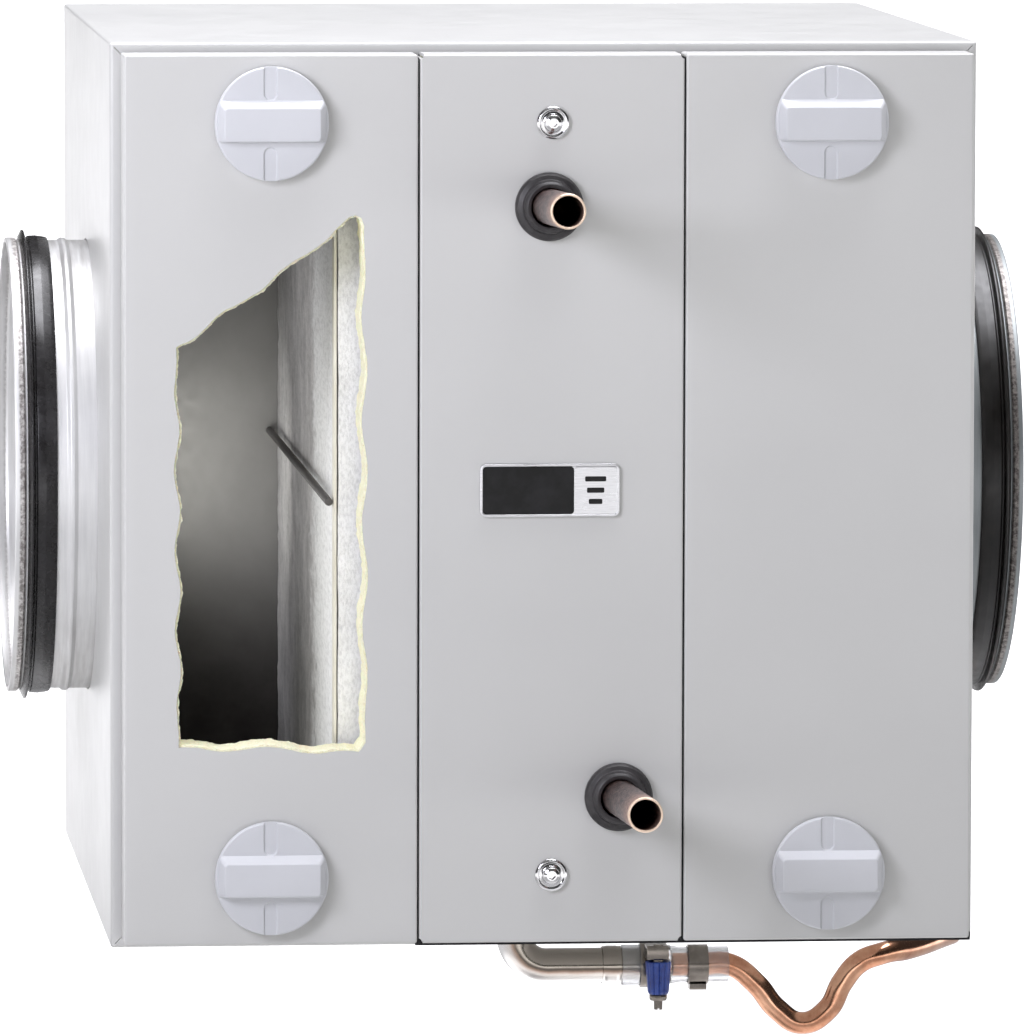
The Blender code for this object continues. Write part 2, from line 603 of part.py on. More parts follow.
def build_drain():
    floor = -INNER_Z + GAP
    (x0, x1), (y0, y1) = TRAY_X, TRAY_Y
    tray = box("condensate_tray", (x0, y0, floor), (x1, y1, TRAY_TOP), GALVANISED)
    low, high = (x0 + TRAY_WALL, y0 + TRAY_WALL, floor + TRAY_WALL), (x1 - TRAY_WALL, y1 - TRAY_WALL, 0.0)
    combine(tray, box("tray_inside", low, high, helper=True))
    combine(tray, rod("tray_outlet", (DRAIN_X, DRAIN_Y, floor), ELBOW_BORE_R, 0.02, "z", sides=20, helper=True))
    nozzle = [(0.0055, 0.0023), (0.0125, 0.0020), (0.0125, 0.0013), (0.0066, 0.0013), (0.0066, -0.018),
              (0.0055, -0.018)]
    turned("drain_nozzle", nozzle, Matrix.Translation((DRAIN_X, DRAIN_Y, floor)), GALVANISED, steps=20)

    def flat(u, v):
        return (u, DRAIN_Y, v)

    top = floor - GAP
    corner = (DRAIN_X + ELBOW_BEND, DRAIN_Z + ELBOW_BEND)
    bend = arc(corner, 180, 270, ELBOW_BEND, 8, flat)
    elbow = tube("drain_elbow", [flat(DRAIN_X, top), *bend, flat(ELBOW_END, DRAIN_Z)], ELBOW_R, STEEL, sides=20)
    route = [flat(DRAIN_X, top + 0.01), *bend, flat(ELBOW_END + 0.01, DRAIN_Z)]
    combine(elbow, tube("elbow_bore", route, ELBOW_BORE_R, sides=20, helper=True))
    along = Matrix.Translation((0, DRAIN_Y, DRAIN_Z)) @ Matrix.Rotation(math.pi / 2, 4, "Y")
    rim = ELBOW_R + GAP
    ring = [(rim, 0.0541), (rim + 0.0006, 0.0541), (rim + 0.0006, 0.0457), (rim, 0.0457)]
    turned("elbow_ferrule", ring, along, STEEL, steps=24)
    fit = TRAP_R + 3 * GAP
    hose = [(fit, 0.1026), (0.0079, 0.1026), (0.0079, 0.0790), (0.0090, 0.0760), (0.0090, 0.0545),
            (rim, 0.0545), (rim, 0.0745), (fit, 0.0765)]
    turned("clear_hose", hose, along, CLEAR, steps=24)
    band = [(0.0093, 0.0748), (0.0101, 0.0748), (0.0101, 0.0627), (0.0093, 0.0627)]
    clamp = turned("clamp_band_left", band, along, STEEL, steps=32)
    low, high = (KEY_X - 0.0055, KEY_Y - 0.0034, -0.2255), (KEY_X + 0.0045, DRAIN_Y - 0.0085, -0.2190)
    housing = box("clamp_housing", low, high, helper=True)
    combine(clamp, housing, "UNION")
    combine(clamp, rod("clamp_inside", (0.07, DRAIN_Y, DRAIN_Z), 0.0093, 0.03, "x", sides=32, helper=True))
    combine(clamp, rod("housing_bore", (KEY_X, KEY_Y, -0.222), 0.0025, 0.02, "z", sides=16, helper=True))
    ear_band = [(0.0082, 0.0933), (0.0089, 0.0933), (0.0089, 0.0843), (0.0082, 0.0843)]
    ear_clamp = turned("clamp_band_right", ear_band, along, STEEL, steps=24)
    low, high = (0.0850, DRAIN_Y - 0.0045, DRAIN_Z - 0.0112), (0.0926, DRAIN_Y + 0.0045, DRAIN_Z - 0.0084)
    combine(ear_clamp, box("clamp_ear", low, high, helper=True), "UNION")
    build_clamp_key()
    build_trap(flat)


def build_clamp_key():
    """The clamp's fluted thumb knob and its worm screw, on an empty on the screw's axis."""
    pivot = bpy.data.objects.new("clamp_key_pivot", None)
    PARTS.objects.link(pivot)
    pivot.location = (KEY_X, KEY_Y, -0.234)
    top, bottom = -0.2262, -0.2410
    grip = [(0.0025, top), (0.0055, top), (0.0058, top - 0.0006), (0.0056, top - 0.0030),
            (0.0048, bottom + 0.0012), (0.0042, bottom), (0.0025, bottom)]
    place = Matrix.Translation((KEY_X, KEY_Y, 0))
    key = turned("clamp_thumb_knob", grip, place, BLUE, steps=24)
    flutes = 8
    for i in range(flutes):
        angle = 2 * math.pi * i / flutes
        middle = (KEY_X + 0.0065 * math.cos(angle), KEY_Y + 0.0065 * math.sin(angle), -0.234)
        combine(key, rod(f"key_flute_{i}", middle, 0.0011, 0.03, "z", sides=8, helper=True))
    shaft = [(0, -0.2185), (0.0022, -0.2185), (0.0022, -0.2413), (0.0040, -0.2413), (0.0040, -0.2438),
             (0.0020, -0.2438), (0.0020, -0.2480), (0, -0.2480)]
    screw = turned("clamp_worm_screw", shaft, place, STEEL, steps=16)
    low, high = (KEY_X - 0.0004, KEY_Y - 0.01, -0.2490), (KEY_X + 0.0004, KEY_Y + 0.01, -0.2465)
    combine(screw, box("screw_slot", low, high, helper=True))
    parent_keep(key, pivot)
    parent_keep(screw, pivot)


def build_trap(flat):
    """The copper trap: out of the hose, down through the water seal, up, then back towards the wall."""
    level, end = -0.2264, (0.2130, -0.1320)
    route = [
        flat(0.0770, DRAIN_Z), flat(0.0900, DRAIN_Z), flat(0.1035, DRAIN_Z - 0.0003), flat(0.1155, -0.2392),
        flat(0.1250, -0.2507),
        flat(0.1362, -0.2572), flat(0.1478, -0.2512), flat(0.1546, -0.2388), flat(0.1622, -0.2300),
        (0.1720, DRAIN_Y + 0.0015, level), (0.1850, DRAIN_Y + 0.0160, level), (*end, level),
    ]
    trap = tube("siphon_tube", route, TRAP_R, COPPER, sides=12, curved=3)
    first, last = Vector(route[0]), Vector(route[-1])
    ahead = (last - Vector(route[-2])).normalized() * 0.004
    bore_route = [first - Vector((0.004, 0, 0)), *route, last + ahead]
    combine(trap, tube("siphon_bore", bore_route, TRAP_BORE_R, sides=8, helper=True, curved=3))


build_casing()
build_spigots()
build_doors()
build_middle_panel()
build_pipes()
build_coil_frame()
build_coil()
build_filter()
build_drain()
bpy.context.view_layer.update()
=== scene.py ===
import json
import math

import bmesh
import bpy
from mathutils import Matrix, Vector, noise


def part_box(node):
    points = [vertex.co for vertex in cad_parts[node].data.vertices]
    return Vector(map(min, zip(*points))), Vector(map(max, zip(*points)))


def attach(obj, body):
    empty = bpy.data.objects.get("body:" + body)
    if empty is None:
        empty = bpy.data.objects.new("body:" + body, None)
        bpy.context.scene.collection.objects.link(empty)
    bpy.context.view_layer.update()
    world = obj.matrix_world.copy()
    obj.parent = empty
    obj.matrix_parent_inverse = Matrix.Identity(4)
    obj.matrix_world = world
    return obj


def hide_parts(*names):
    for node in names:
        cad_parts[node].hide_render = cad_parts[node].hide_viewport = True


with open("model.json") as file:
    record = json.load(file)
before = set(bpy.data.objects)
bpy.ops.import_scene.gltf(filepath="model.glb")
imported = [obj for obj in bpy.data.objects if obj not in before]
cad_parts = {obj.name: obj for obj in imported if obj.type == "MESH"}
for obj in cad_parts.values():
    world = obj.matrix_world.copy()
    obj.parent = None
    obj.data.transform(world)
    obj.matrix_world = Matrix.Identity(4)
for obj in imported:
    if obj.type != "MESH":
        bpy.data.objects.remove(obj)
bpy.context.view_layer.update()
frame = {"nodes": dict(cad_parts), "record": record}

# Looks for the duct-mounted air coil box. Metres; the front faces -Y and the back lies against the wall.

TAU = 2 * math.pi
TINY = 1e-7
SHARP = math.radians(38)
CRISP = math.radians(30)
SIDE_SIGN = {"left": -1, "right": 1}
LEVELS = ("top", "bottom")

# Sheet metal
CASE_HALF = (0.185, 0.193)
CASE_FRONT = -0.4
CASE_SHEET = 0.0015
CASE_FOLD = 0.002
FLANGE = 0.0185
DOOR_FACE = -0.426
DOOR_BACK = -0.402
DOOR_SHEET = 0.001
DOOR_FOLD = 0.0012
GAP = 0.0003
DUCT_HOLE_R = 0.1002
DUCT_Y, DUCT_Z = -0.2, -0.003

# Copper pipes through the middle panel: where each meets the panel's face, and which way it leans
PIPE_RISE = math.radians(2.3)
PIPE_SPLAY = 0.014
PIPES = {"upper": (-0.0005, 0.1245, -1), "lower": (0.0297, -0.1268, 1)}

# Drain
DRAIN_X, DRAIN_Y, DRAIN_Z = 0.0062, -0.2, -0.23
ELBOW_BEND = 0.0145
ELBOW_R = 0.0079


# Meshes

def add(name, data):
    obj = bpy.data.objects.new(name, data)
    bpy.context.scene.collection.objects.link(obj)
    return obj


def set_smooth(data, sharp):
    data.shade_smooth()
    data.set_sharp_from_angle(angle=sharp)


def make(name, mesh, slot, *replaced, body="casing_body", finish=None, sharp=SHARP):
    """A piece from a bmesh: smooth, with its sharp edges kept, riding on its body. A cutter has no slot."""
    bmesh.ops.recalc_face_normals(mesh, faces=mesh.faces)
    data = bpy.data.meshes.new(name)
    mesh.to_mesh(data)
    mesh.free()
    set_smooth(data, sharp)
    obj = add(name, data)
    if slot:
        data.materials.append(finish or SLOT_FINISH[slot])
        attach(obj, body)
        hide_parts(*replaced)
    return obj


def carve(obj, others, operation="DIFFERENCE", sharp=SHARP):
    """Cuts or joins the other meshes into this one for good, and removes them."""
    for other in others:
        step = obj.modifiers.new("carve", "BOOLEAN")
        step.operation = operation
        step.solver = "EXACT"
        step.object = other
    bpy.context.view_layer.update()
    evaluated = obj.evaluated_get(bpy.context.evaluated_depsgraph_get())
    carved = bpy.data.meshes.new_from_object(evaluated)
    obj.modifiers.clear()
    obj.data = carved
    set_smooth(carved, sharp)
    for other in others:
        bpy.data.objects.remove(other, do_unlink=True)


def soften(corners, radius, steps=4, closed=False):
    """The line through the corners with each corner rounded. A third number is that corner's own radius."""
    found = []
    count = len(corners)
    for i, corner in enumerate(corners):
        here = Vector(corner[:2])
        own = corner[2] if len(corner) > 2 else radius
        if own < TINY or (not closed and i in (0, count - 1)):
            found.append(tuple(here))
            continue
        before = Vector(corners[i - 1][:2]) - here
        after = Vector(corners[(i + 1) % count][:2]) - here
        reach = min(own / math.tan(before.angle(after) / 2), 0.48 * before.length, 0.48 * after.length)
        start = here + before.normalized() * reach
        end = here + after.normalized() * reach
        for j in range(steps + 1):
            t = j / steps
            point = start * (1 - t) ** 2 + here * (2 * t * (1 - t)) + end * t ** 2
            found.append(tuple(point))
    return found


def divided(profile, closed, step=0.0015):
    """The same profile with points added, so that no stretch along its first number is much over a step."""
    ends = profile[1:] + profile[:1] if closed else profile[1:]
    found = []
    for (d0, r0), (d1, r1) in zip(profile, ends):
        count = max(1, round(abs(d1 - d0) / step))
        found += [(d0 + (d1 - d0) * j / count, r0 + (r1 - r0) * j / count) for j in range(count)]
    return found if closed else found + profile[-1:]


class Route:
    """A line through points, with a frame along it that turns with it and doesn't twist."""

    def __init__(self, points, side=None):
        self.points = [Vector(point) for point in points]
        steps = [after - before for before, after in zip(self.points, self.points[1:])]
        self.marks = [0.0]
        for step in steps:
            self.marks.append(self.marks[-1] + step.length)
        self.length = self.marks[-1]
        ways = [steps[0].normalized()]
        for before, after in zip(steps, steps[1:]):
            ways.append((before.normalized() + after.normalized()).normalized())
        ways.append(steps[-1].normalized())
        side = Vector(side) if side else ways[0].orthogonal()
        self.frames = []
        for way in ways:
            side = (side - way * side.dot(way)).normalized()
            self.frames.append((side.copy(), way.cross(side)))

    def at(self, distance):
        """The point that far along, and the two directions across the line there."""
        last = len(self.points) - 2
        i = 0
        while i < last and self.marks[i + 1] < distance:
            i += 1
        share = (distance - self.marks[i]) / (self.marks[i + 1] - self.marks[i])
        point = self.points[i].lerp(self.points[i + 1], share)
        share = min(max(share, 0.0), 1.0)
        (u0, v0), (u1, v1) = self.frames[i], self.frames[i + 1]
        return point, u0.lerp(u1, share).normalized(), v0.lerp(v1, share).normalized()


def axis_route(start, way, side=(0, 0, 1)):
    """A straight route of unit length from a point: distances along it are metres."""
    start = Vector(start)
    return Route([start, start + Vector(way).normalized()], side)


def smooth_route(points):
    """A smooth curve through the points, as a route."""
    curve = bpy.data.curves.new("route", "CURVE")
    curve.dimensions = "3D"
    curve.resolution_u = 12
    spline = curve.splines.new("BEZIER")
    spline.bezier_points.add(len(points) - 1)
    for knot, point in zip(spline.bezier_points, points):
        knot.co = point
        knot.handle_left_type = knot.handle_right_type = "AUTO"
    holder = add("route", curve)
    bpy.context.view_layer.update()
    data = bpy.data.meshes.new_from_object(holder.evaluated_get(bpy.context.evaluated_depsgraph_get()))
    found = [vertex.co.copy() for vertex in data.vertices]
    bpy.data.objects.remove(holder, do_unlink=True)
    return Route(found)


def loft(rings, closed=False, caps=True, mesh=None):
    """Joins each ring of points to the next, where one point is a tip. Caps fill the first and last ring."""
    mesh = mesh or bmesh.new()
    rings = [[mesh.verts.new(point) for point in ring] for ring in rings]
    for one, two in zip(rings, rings[1:] + rings[:1] if closed else rings[1:]):
        count = max(len(one), len(two))
        if count == 1:
            continue
        for i in range(count):
            j = (i + 1) % count
            corners = [one[i % len(one)], one[j % len(one)], two[j % len(two)], two[i % len(two)]]
            corners = list(dict.fromkeys(corners))
            if len(corners) > 2:
                mesh.faces.new(corners)
    if caps and not closed:
        mesh.faces.new(rings[0])
        mesh.faces.new(rings[-1])
    return mesh


def turn(route, profile, sides=64, shape=None, closed=True, soft=None):
    """A solid of (distance, radius) points turned about a route, its corners softened by (radius, steps).

    shape(angle, radius, distance) may alter a radius.
    """
    rings = []
    for distance, radius in soften(profile, *soft, closed) if soft else profile:
        centre, u, v = route.at(distance)
        if radius < TINY:
            rings.append([centre])
            continue
        ring = []
        for i in range(sides):
            angle = TAU * i / sides
            reach = shape(angle, radius, distance) if shape else radius
            ring.append(centre + (u * math.cos(angle) + v * math.sin(angle)) * reach)
        rings.append(ring)
    return loft(rings, closed, caps=False)


def wavy(amount, lobes, drift, above=0.0):
    """A shape for turn(): walls that wave a little round and along the tube, where they are wide enough."""
    def shape(angle, radius, distance):
        wave = amount * math.sin(lobes * angle + drift * distance)
        return radius * (1 + wave) if radius > above else radius
    return shape


def rect_line(half, corner, steps=4):
    """A rounded rectangle about the origin."""
    x, z = half
    corner = max(corner, 1e-5)
    line = []
    for sign_x, sign_z, start in ((1, 1, 0), (-1, 1, 90), (-1, -1, 180), (1, -1, 270)):
        for i in range(steps + 1):
            angle = math.radians(start + 90 * i / steps)
            line.append((sign_x * (x - corner) + corner * math.cos(angle),
                         sign_z * (z - corner) + corner * math.sin(angle)))
    return line


def trays(centre, half, corner, profile, closed=False, steps=4):
    """A solid of rounded rectangles: each (inset, y) of the profile is one ring, smaller by the inset."""
    rings = []
    for inset, y in profile:
        line = rect_line((half[0] - inset, half[1] - inset), corner - inset, steps)
        rings.append([(centre[0] + x, y, centre[1] + z) for x, z in line])
    return loft(rings, closed)


def block(low, high, round_by=0.0):
    """A box between two corners with rounded edges."""
    mesh = bmesh.new()
    low, high = Vector(low), Vector(high)
    bmesh.ops.create_cube(mesh, size=1.0, matrix=Matrix.Diagonal((*(high - low), 1.0)))
    if round_by:
        bmesh.ops.bevel(mesh, geom=mesh.edges[:], offset=round_by, segments=3, profile=0.5, affect="EDGES",
                        clamp_overlap=True)
    bmesh.ops.translate(mesh, vec=(low + high) / 2, verts=mesh.verts)
    return mesh


def off_panel(x, z):
    """A route straight out from the front of the doors."""
    return axis_route((x, DOOR_FACE - GAP, z), (0, -1, 0))


def cutter(mesh):
    """A mesh for carve() to use up."""
    return make("cutter", mesh, None)


def rod_cutter(start, end, radius, sides=64):
    route = Route([start, end])
    profile = [(0, 0), (0, radius), (route.length, radius), (route.length, 0)]
    return cutter(turn(route, profile, sides, closed=False))


def flat_middle(low, high):
    """The centre and half size in (x, z) of the box between two corners."""
    return ((low.x + high.x) / 2, (low.z + high.z) / 2), ((high.x - low.x) / 2, (high.z - low.z) / 2)


def middle(node):
    low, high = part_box(node)
    return (low + high) / 2


# Finishes

def add_node(tree, kind, output, inputs, **settings):
    """A new shader node's output, with its inputs joined to other outputs or set to plain values."""
    made = tree.nodes.new("ShaderNode" + kind)
    for key, value in settings.items():
        setattr(made, key, value)
    for key, value in inputs.items():
        put(tree, value, made.inputs[key])
    return made.outputs[output]


def put(tree, source, target):
    """Joins two sockets. A plain value is set on the target instead."""
    if isinstance(source, bpy.types.NodeSocket):
        tree.links.new(source, target)
    else:
        target.default_value = source


class Finish:
    """A node material under construction. Its textures read the object's own metres."""

    def __init__(self, name, **values):
        self.material = bpy.data.materials.new(name)
        self.material.use_nodes = True
        self.tree = self.material.node_tree
        self.shader = self.tree.nodes["Principled BSDF"]
        self.place = self.node("TexCoord", "Object", {})
        self.last_bump = None
        for key, value in values.items():
            self.set(key.replace("_", " "), (*value, 1.0) if isinstance(value, tuple) else value)

    def node(self, kind, output, inputs, **settings):
        return add_node(self.tree, kind, output, inputs, **settings)

    def set(self, key, value):
        """Sets or joins an input of the surface itself."""
        put(self.tree, value, self.shader.inputs[key])

    def stretched(self, scale):
        return self.node("Mapping", "Vector", {"Vector": self.place, "Scale": scale})

    def noise(self, scale, detail=3.0, roughness=0.55, place=None):
        inputs = {"Vector": place or self.place, "Scale": scale, "Detail": detail, "Roughness": roughness}
        return self.node("TexNoise", "Fac", inputs)

    def cells(self, scale, output="Distance"):
        return self.node("TexVoronoi", output, {"Vector": self.place, "Scale": scale})

    def along(self, axis):
        """The position along one axis, in metres."""
        return self.node("SeparateXYZ", axis, {"Vector": self.place})

    def vector(self, operation, output, other, place=None):
        return self.node("VectorMath", output, {0: place or self.place, 1: other}, operation=operation)

    def levels(self, source, low, high, dark, light, smooth=False):
        inputs = {"Value": source, "From Min": low, "From Max": high, "To Min": dark, "To Max": light}
        return self.node("MapRange", "Result", inputs, interpolation_type="SMOOTHSTEP" if smooth else "LINEAR")

    def colours(self, source, *stops):
        return set_stops(self.tree, source, stops)

    def mix(self, factor, one, two):
        """Two colours mixed. Of the node's sockets, inputs 6 and 7 and output 2 are the ones for colours."""
        return self.node("Mix", 2, {0: factor, 6: one, 7: two}, data_type="RGBA")

    def sum(self, one, two, operation="ADD"):
        return self.node("Math", "Value", {0: one, 1: two}, operation=operation)

    def blend(self, one, two, share):
        """A share of one value and the rest of another."""
        return self.sum(self.sum(one, share, "MULTIPLY"), self.sum(two, 1 - share, "MULTIPLY"))

    def colour(self, source, *stops):
        """Sets the base colour, through colour stops if there are any."""
        self.set("Base Color", self.colours(source, *stops) if stops else source)

    def rough(self, source, *span):
        """Sets the roughness, through levels if there are any."""
        self.set("Roughness", self.levels(source, *span) if span else source)

    def bump(self, source, height, strength=1.0):
        """Adds relief of that height in metres to what is there already."""
        relief = {"Strength": strength, "Distance": height, "Height": source}
        if self.last_bump:
            relief["Normal"] = self.last_bump
        self.last_bump = self.node("Bump", "Normal", relief)
        self.set("Normal", self.last_bump)


def set_stops(tree, source, stops):
    """A colour ramp through stops of (position, colour)."""
    made = add_node(tree, "ValToRGB", "Color", {"Fac": source})
    elements = made.node.color_ramp.elements
    while len(elements) < len(stops):
        elements.new(1.0)
    for element, (position, colour) in zip(elements, stops):
        element.position = position
        element.color = (*colour, 1.0)
    return made


def mottled(name, tint, dark, light, gloss, span, relief, height, strength=0.5, **values):
    """Two close colours mottled together, with an uneven gloss and a fine relief."""
    f = Finish(name, **values)
    f.colour(f.noise(*tint), dark, light)
    f.rough(f.noise(*gloss), 0.3, 0.7, *span)
    f.bump(f.noise(*relief), height, strength)
    return f.material


def powder_coat():
    f = Finish("powder_coat")
    f.colour(f.noise(7, 2), (0.35, (0.52, 0.52, 0.508)), (0.65, (0.54, 0.54, 0.527)))
    f.rough(f.noise(60, 3), 0.3, 0.7, 0.3, 0.36)
    f.bump(f.noise(850, 2, 0.5), 0.00002, 0.5)
    f.bump(f.noise(170, 2, 0.5), 0.00003, 0.35)
    return f.material


def foam():
    f = Finish("pale_foam", Roughness=0.92, Subsurface_Weight=0.15, Subsurface_Scale=0.002)
    tint = f.colours(f.noise(260, 4), (0.3, (0.8, 0.77, 0.47)), (0.62, (0.92, 0.9, 0.66)))
    pores = f.levels(f.cells(1100), 0.1, 0.5, 0.8, 1.0)
    f.colour(f.mix(0.6, tint, f.colours(pores, (0.78, (0.7, 0.67, 0.4)), (0.95, (0.95, 0.93, 0.72)))))
    f.bump(f.cells(900), 0.0004, 0.8)
    f.bump(f.noise(420, 4, 0.65), 0.0005, 0.6)
    return f.material


def inner_sheet():
    """Bare satin sheet, with painted shade that darkens it towards the floor of the chamber."""
    f = Finish("inner_sheet", Metallic=0.6)
    clean = f.colours(f.noise(22, 4, 0.6), (0.3, (0.205, 0.2, 0.19)), (0.7, (0.25, 0.245, 0.233)))
    # Painted shade: the sheet's colour turns dark towards the bottom of the chamber.
    painted_shade_dark = f.colours(f.noise(60, 4, 0.6), (0.3, (0.04, 0.036, 0.033)), (0.7, (0.07, 0.064, 0.06)))
    f.colour(f.mix(f.levels(f.along("Z"), -0.14, -0.045, 1.0, 0.0, smooth=True), clean, painted_shade_dark))
    f.rough(f.noise(180, 4, 0.6), 0.3, 0.7, 0.36, 0.46)
    f.bump(f.noise(500, 3), 0.00003, 0.4)
    return f.material


def galvanised():
    """Zinc-coated sheet with its pattern of crystals."""
    f = Finish("galvanised_sheet", Metallic=0.95)
    flakes = f.node("RGBToBW", "Val", {"Color": f.cells(140, "Color")})
    shade = f.blend(flakes, f.noise(35, 4), 0.55)
    f.colour(shade, (0.25, (0.5, 0.51, 0.52)), (0.75, (0.66, 0.67, 0.68)))
    f.rough(shade, 0.25, 0.75, 0.24, 0.38)
    f.bump(f.noise(420, 3), 0.00002, 0.4)
    return f.material


def spigot_sheet(name, dark, light, darker_tone, cut_dark, cut_light):
    """Zinc-coated sheet with faint rings left by rolling and a rough rim, painted lighter round the middle and
    darker towards top and bottom as painted light and shade.
    """
    f = Finish(name, Metallic=0.45)
    shade = f.blend(f.noise(90, 5, 0.6, f.stretched((6.0, 0.35, 0.35))), f.noise(30, 4), 0.6)
    # Painted light and shade: lighter round the duct's middle height, darker above and below it.
    from_middle = f.sum(f.sum(f.along("Z"), -DUCT_Z), 0.0, "ABSOLUTE")
    body = f.mix(f.levels(from_middle, 0.04, 0.098, 0.0, 1.0, smooth=True),
                 f.colours(shade, (0.36, dark), (0.64, light)), f.colours(shade, (0.36, darker_tone), (0.64, dark)))
    cut = f.colours(f.noise(520, 5, 0.7), (0.42, cut_dark), (0.6, cut_light))
    across = f.vector("MULTIPLY", "Vector", (0, 1, 1))
    radius = f.vector("DISTANCE", "Value", (0, DUCT_Y, DUCT_Z), across)
    reach = f.sum(f.along("X"), 0.0, "ABSOLUTE")
    seal_side, open_side = f.levels(reach, 0.2158, 0.2164, 0, 1), f.levels(reach, 0.2184, 0.2192, 1, 0)
    rim = f.sum(f.sum(seal_side, open_side, "MULTIPLY"), f.levels(radius, 0.0988, 0.0992, 0, 1), "MULTIPLY")
    f.colour(f.mix(rim, body, cut))
    f.rough(shade, 0.36, 0.64, 0.36, 0.46)
    f.bump(f.noise(420, 3), 0.00002, 0.4)
    return f.material


def rubber(name, base, dust, rough):
    return mottled(name, (110, 5, 0.65), (0.42, base), (0.75, dust), (240, 3), rough, (900, 2), 0.00001,
                   Specular_IOR_Level=0.4)


def cell_rubber():
    f = Finish("cell_rubber", Roughness=0.9, Specular_IOR_Level=0.3)
    f.colour(f.noise(300, 4), (0.4, (0.012, 0.012, 0.013)), (0.7, (0.035, 0.035, 0.037)))
    f.bump(f.cells(1400), 0.0002, 0.7)
    return f.material


def steel(name, base, worn, low, high):
    f = Finish(name, Metallic=1.0)
    f.colour(f.noise(120, 5, 0.6), (0.4, base), (0.8, worn))
    scratches = f.noise(90, 5, 0.7, f.stretched((30, 3, 30)))
    f.rough(scratches, 0.35, 0.75, low, high)
    f.bump(scratches, 0.00001, 0.3)
    return f.material


def outlet_steel_painted_reflection():
    """Thin polished tube with painted reflections across it: dark and brownish round the inside of its bend
    and on top, bright on the outside.
    """
    f = Finish("outlet_steel_painted_reflection", Metallic=1.0)
    past = [f.sum(f.sum(f.along(axis), -centre), 0.0, "MINIMUM")
            for axis, centre in (("X", DRAIN_X + ELBOW_BEND), ("Z", DRAIN_Z + ELBOW_BEND))]
    squares = [f.sum(value, value, "MULTIPLY") for value in past]
    reach = f.sum(f.sum(squares[0], squares[1]), 0.5, "POWER")
    reach = f.sum(reach, f.levels(f.noise(160, 3), 0, 1, -0.0006, 0.0006))
    across = f.levels(reach, ELBOW_BEND - ELBOW_R, ELBOW_BEND + ELBOW_R, 0.0, 1.0)
    # Painted reflection: dark above, a thin brown line, and bright along the outside of the bend underneath.
    f.colour(across, (0.05, (0.26, 0.235, 0.205)), (0.46, (0.36, 0.325, 0.28)), (0.55, (0.17, 0.145, 0.12)),
             (0.62, (0.5, 0.36, 0.28)), (0.72, (0.84, 0.78, 0.72)), (0.92, (0.97, 0.96, 0.94)))
    f.rough(f.noise(240, 4, 0.6, f.stretched((0.4, 2, 2))), 0.35, 0.7, 0.1, 0.2)
    f.bump(f.noise(600, 2), 0.00001, 0.3)
    return f.material


def copper():
    """Drawn copper, polished along its length, with a thin brown film in places."""
    f = Finish("copper", Metallic=1.0)
    shade = f.blend(f.noise(60, 4, 0.55), f.noise(600, 3, 0.6), 0.75)
    f.colour(shade, (0.34, (0.5, 0.225, 0.13)), (0.62, (0.8, 0.46, 0.3)))
    f.rough(shade, 0.36, 0.62, 0.22, 0.12)
    f.bump(f.noise(700, 2), 0.000005, 0.3)
    return f.material


def pipe_copper():
    """Drawn copper, blotched brown near the panel and sanded for soldering towards its bright cut end."""
    f = Finish("pipe_copper", Metallic=0.9)
    darker_tone = f.colours(f.noise(640, 4, 0.65), (0.45, (0.022, 0.014, 0.013)), (0.57, (0.3, 0.19, 0.17)))
    clean = f.colours(f.noise(900, 4, 0.6), (0.4, (0.3, 0.19, 0.16)), (0.62, (0.62, 0.43, 0.36)))
    depth = f.along("Y")
    edge = f.sum(depth, f.levels(f.noise(260, 3), 0, 1, -0.006, 0.006))
    sanded = f.levels(edge, -0.52, -0.496, 1.0, 0.0)
    rim = f.levels(depth, -0.5226, -0.5218, 1.0, 0.0)
    bright = f.colours(f.noise(500, 3), (0.3, (0.88, 0.66, 0.5)), (0.7, (0.97, 0.8, 0.64)))
    f.colour(f.mix(rim, f.mix(sanded, darker_tone, clean), bright))
    f.rough(f.sum(f.levels(f.noise(700, 3, 0.6), 0.3, 0.7, 0.26, 0.36), f.levels(sanded, 0, 1, 0.0, 0.12)))
    f.bump(f.noise(1600, 3, 0.6), 0.00006, 0.5)
    return f.material


def fleece():
    """White needled fibre, greyed towards the back by a painted shadow with a ragged boundary."""
    f = Finish("filter_fleece", Roughness=0.97, Sheen_Weight=0.2, Sheen_Roughness=0.6)
    fibres = f.noise(520, 6, 0.72, f.stretched((1.6, 0.2, 0.8)))
    streaks = f.noise(150, 6, 0.66, f.stretched((1.5, 0.35, 0.3)))
    tufts = f.noise(110, 5, 0.65, f.stretched((1.5, 0.3, 0.8)))
    white = f.colours(fibres, (0.36, (0.74, 0.74, 0.73)), (0.56, (0.94, 0.94, 0.93)))
    grey = f.colours(f.blend(streaks, fibres, 0.7), (0.38, (0.36, 0.35, 0.335)), (0.6, (0.64, 0.62, 0.6)))
    boundary = f.sum(f.along("Y"), f.levels(tufts, 0.25, 0.75, -0.032, 0.032))
    # Painted shadow: the back part of the pad is grey, with a ragged edge to the white front.
    f.colour(f.mix(f.levels(boundary, -0.272, -0.228, 0.0, 1.0, smooth=True), white, grey))
    f.bump(fibres, 0.0006, 0.8)
    f.bump(tufts, 0.001, 0.4)
    return f.material


def badge_silver():
    f = Finish("badge_silver", Metallic=0.9)
    brushed = f.noise(60, 4, 0.6, f.stretched((2, 10, 40)))
    f.colour(brushed, (0.35, (0.6, 0.6, 0.61)), (0.65, (0.74, 0.74, 0.75)))
    f.rough(brushed, 0.3, 0.7, 0.26, 0.4)
    f.bump(brushed, 0.00001, 0.4)
    return f.material


def clear_plastic():
    f = Finish("clear_plastic", Transmission_Weight=0.94, IOR=1.42, Base_Color=(0.9, 0.91, 0.925))
    f.rough(f.noise(220, 4, 0.6), 0.35, 0.7, 0.05, 0.18)
    f.bump(f.noise(90, 3), 0.00015, 0.5)
    return f.material


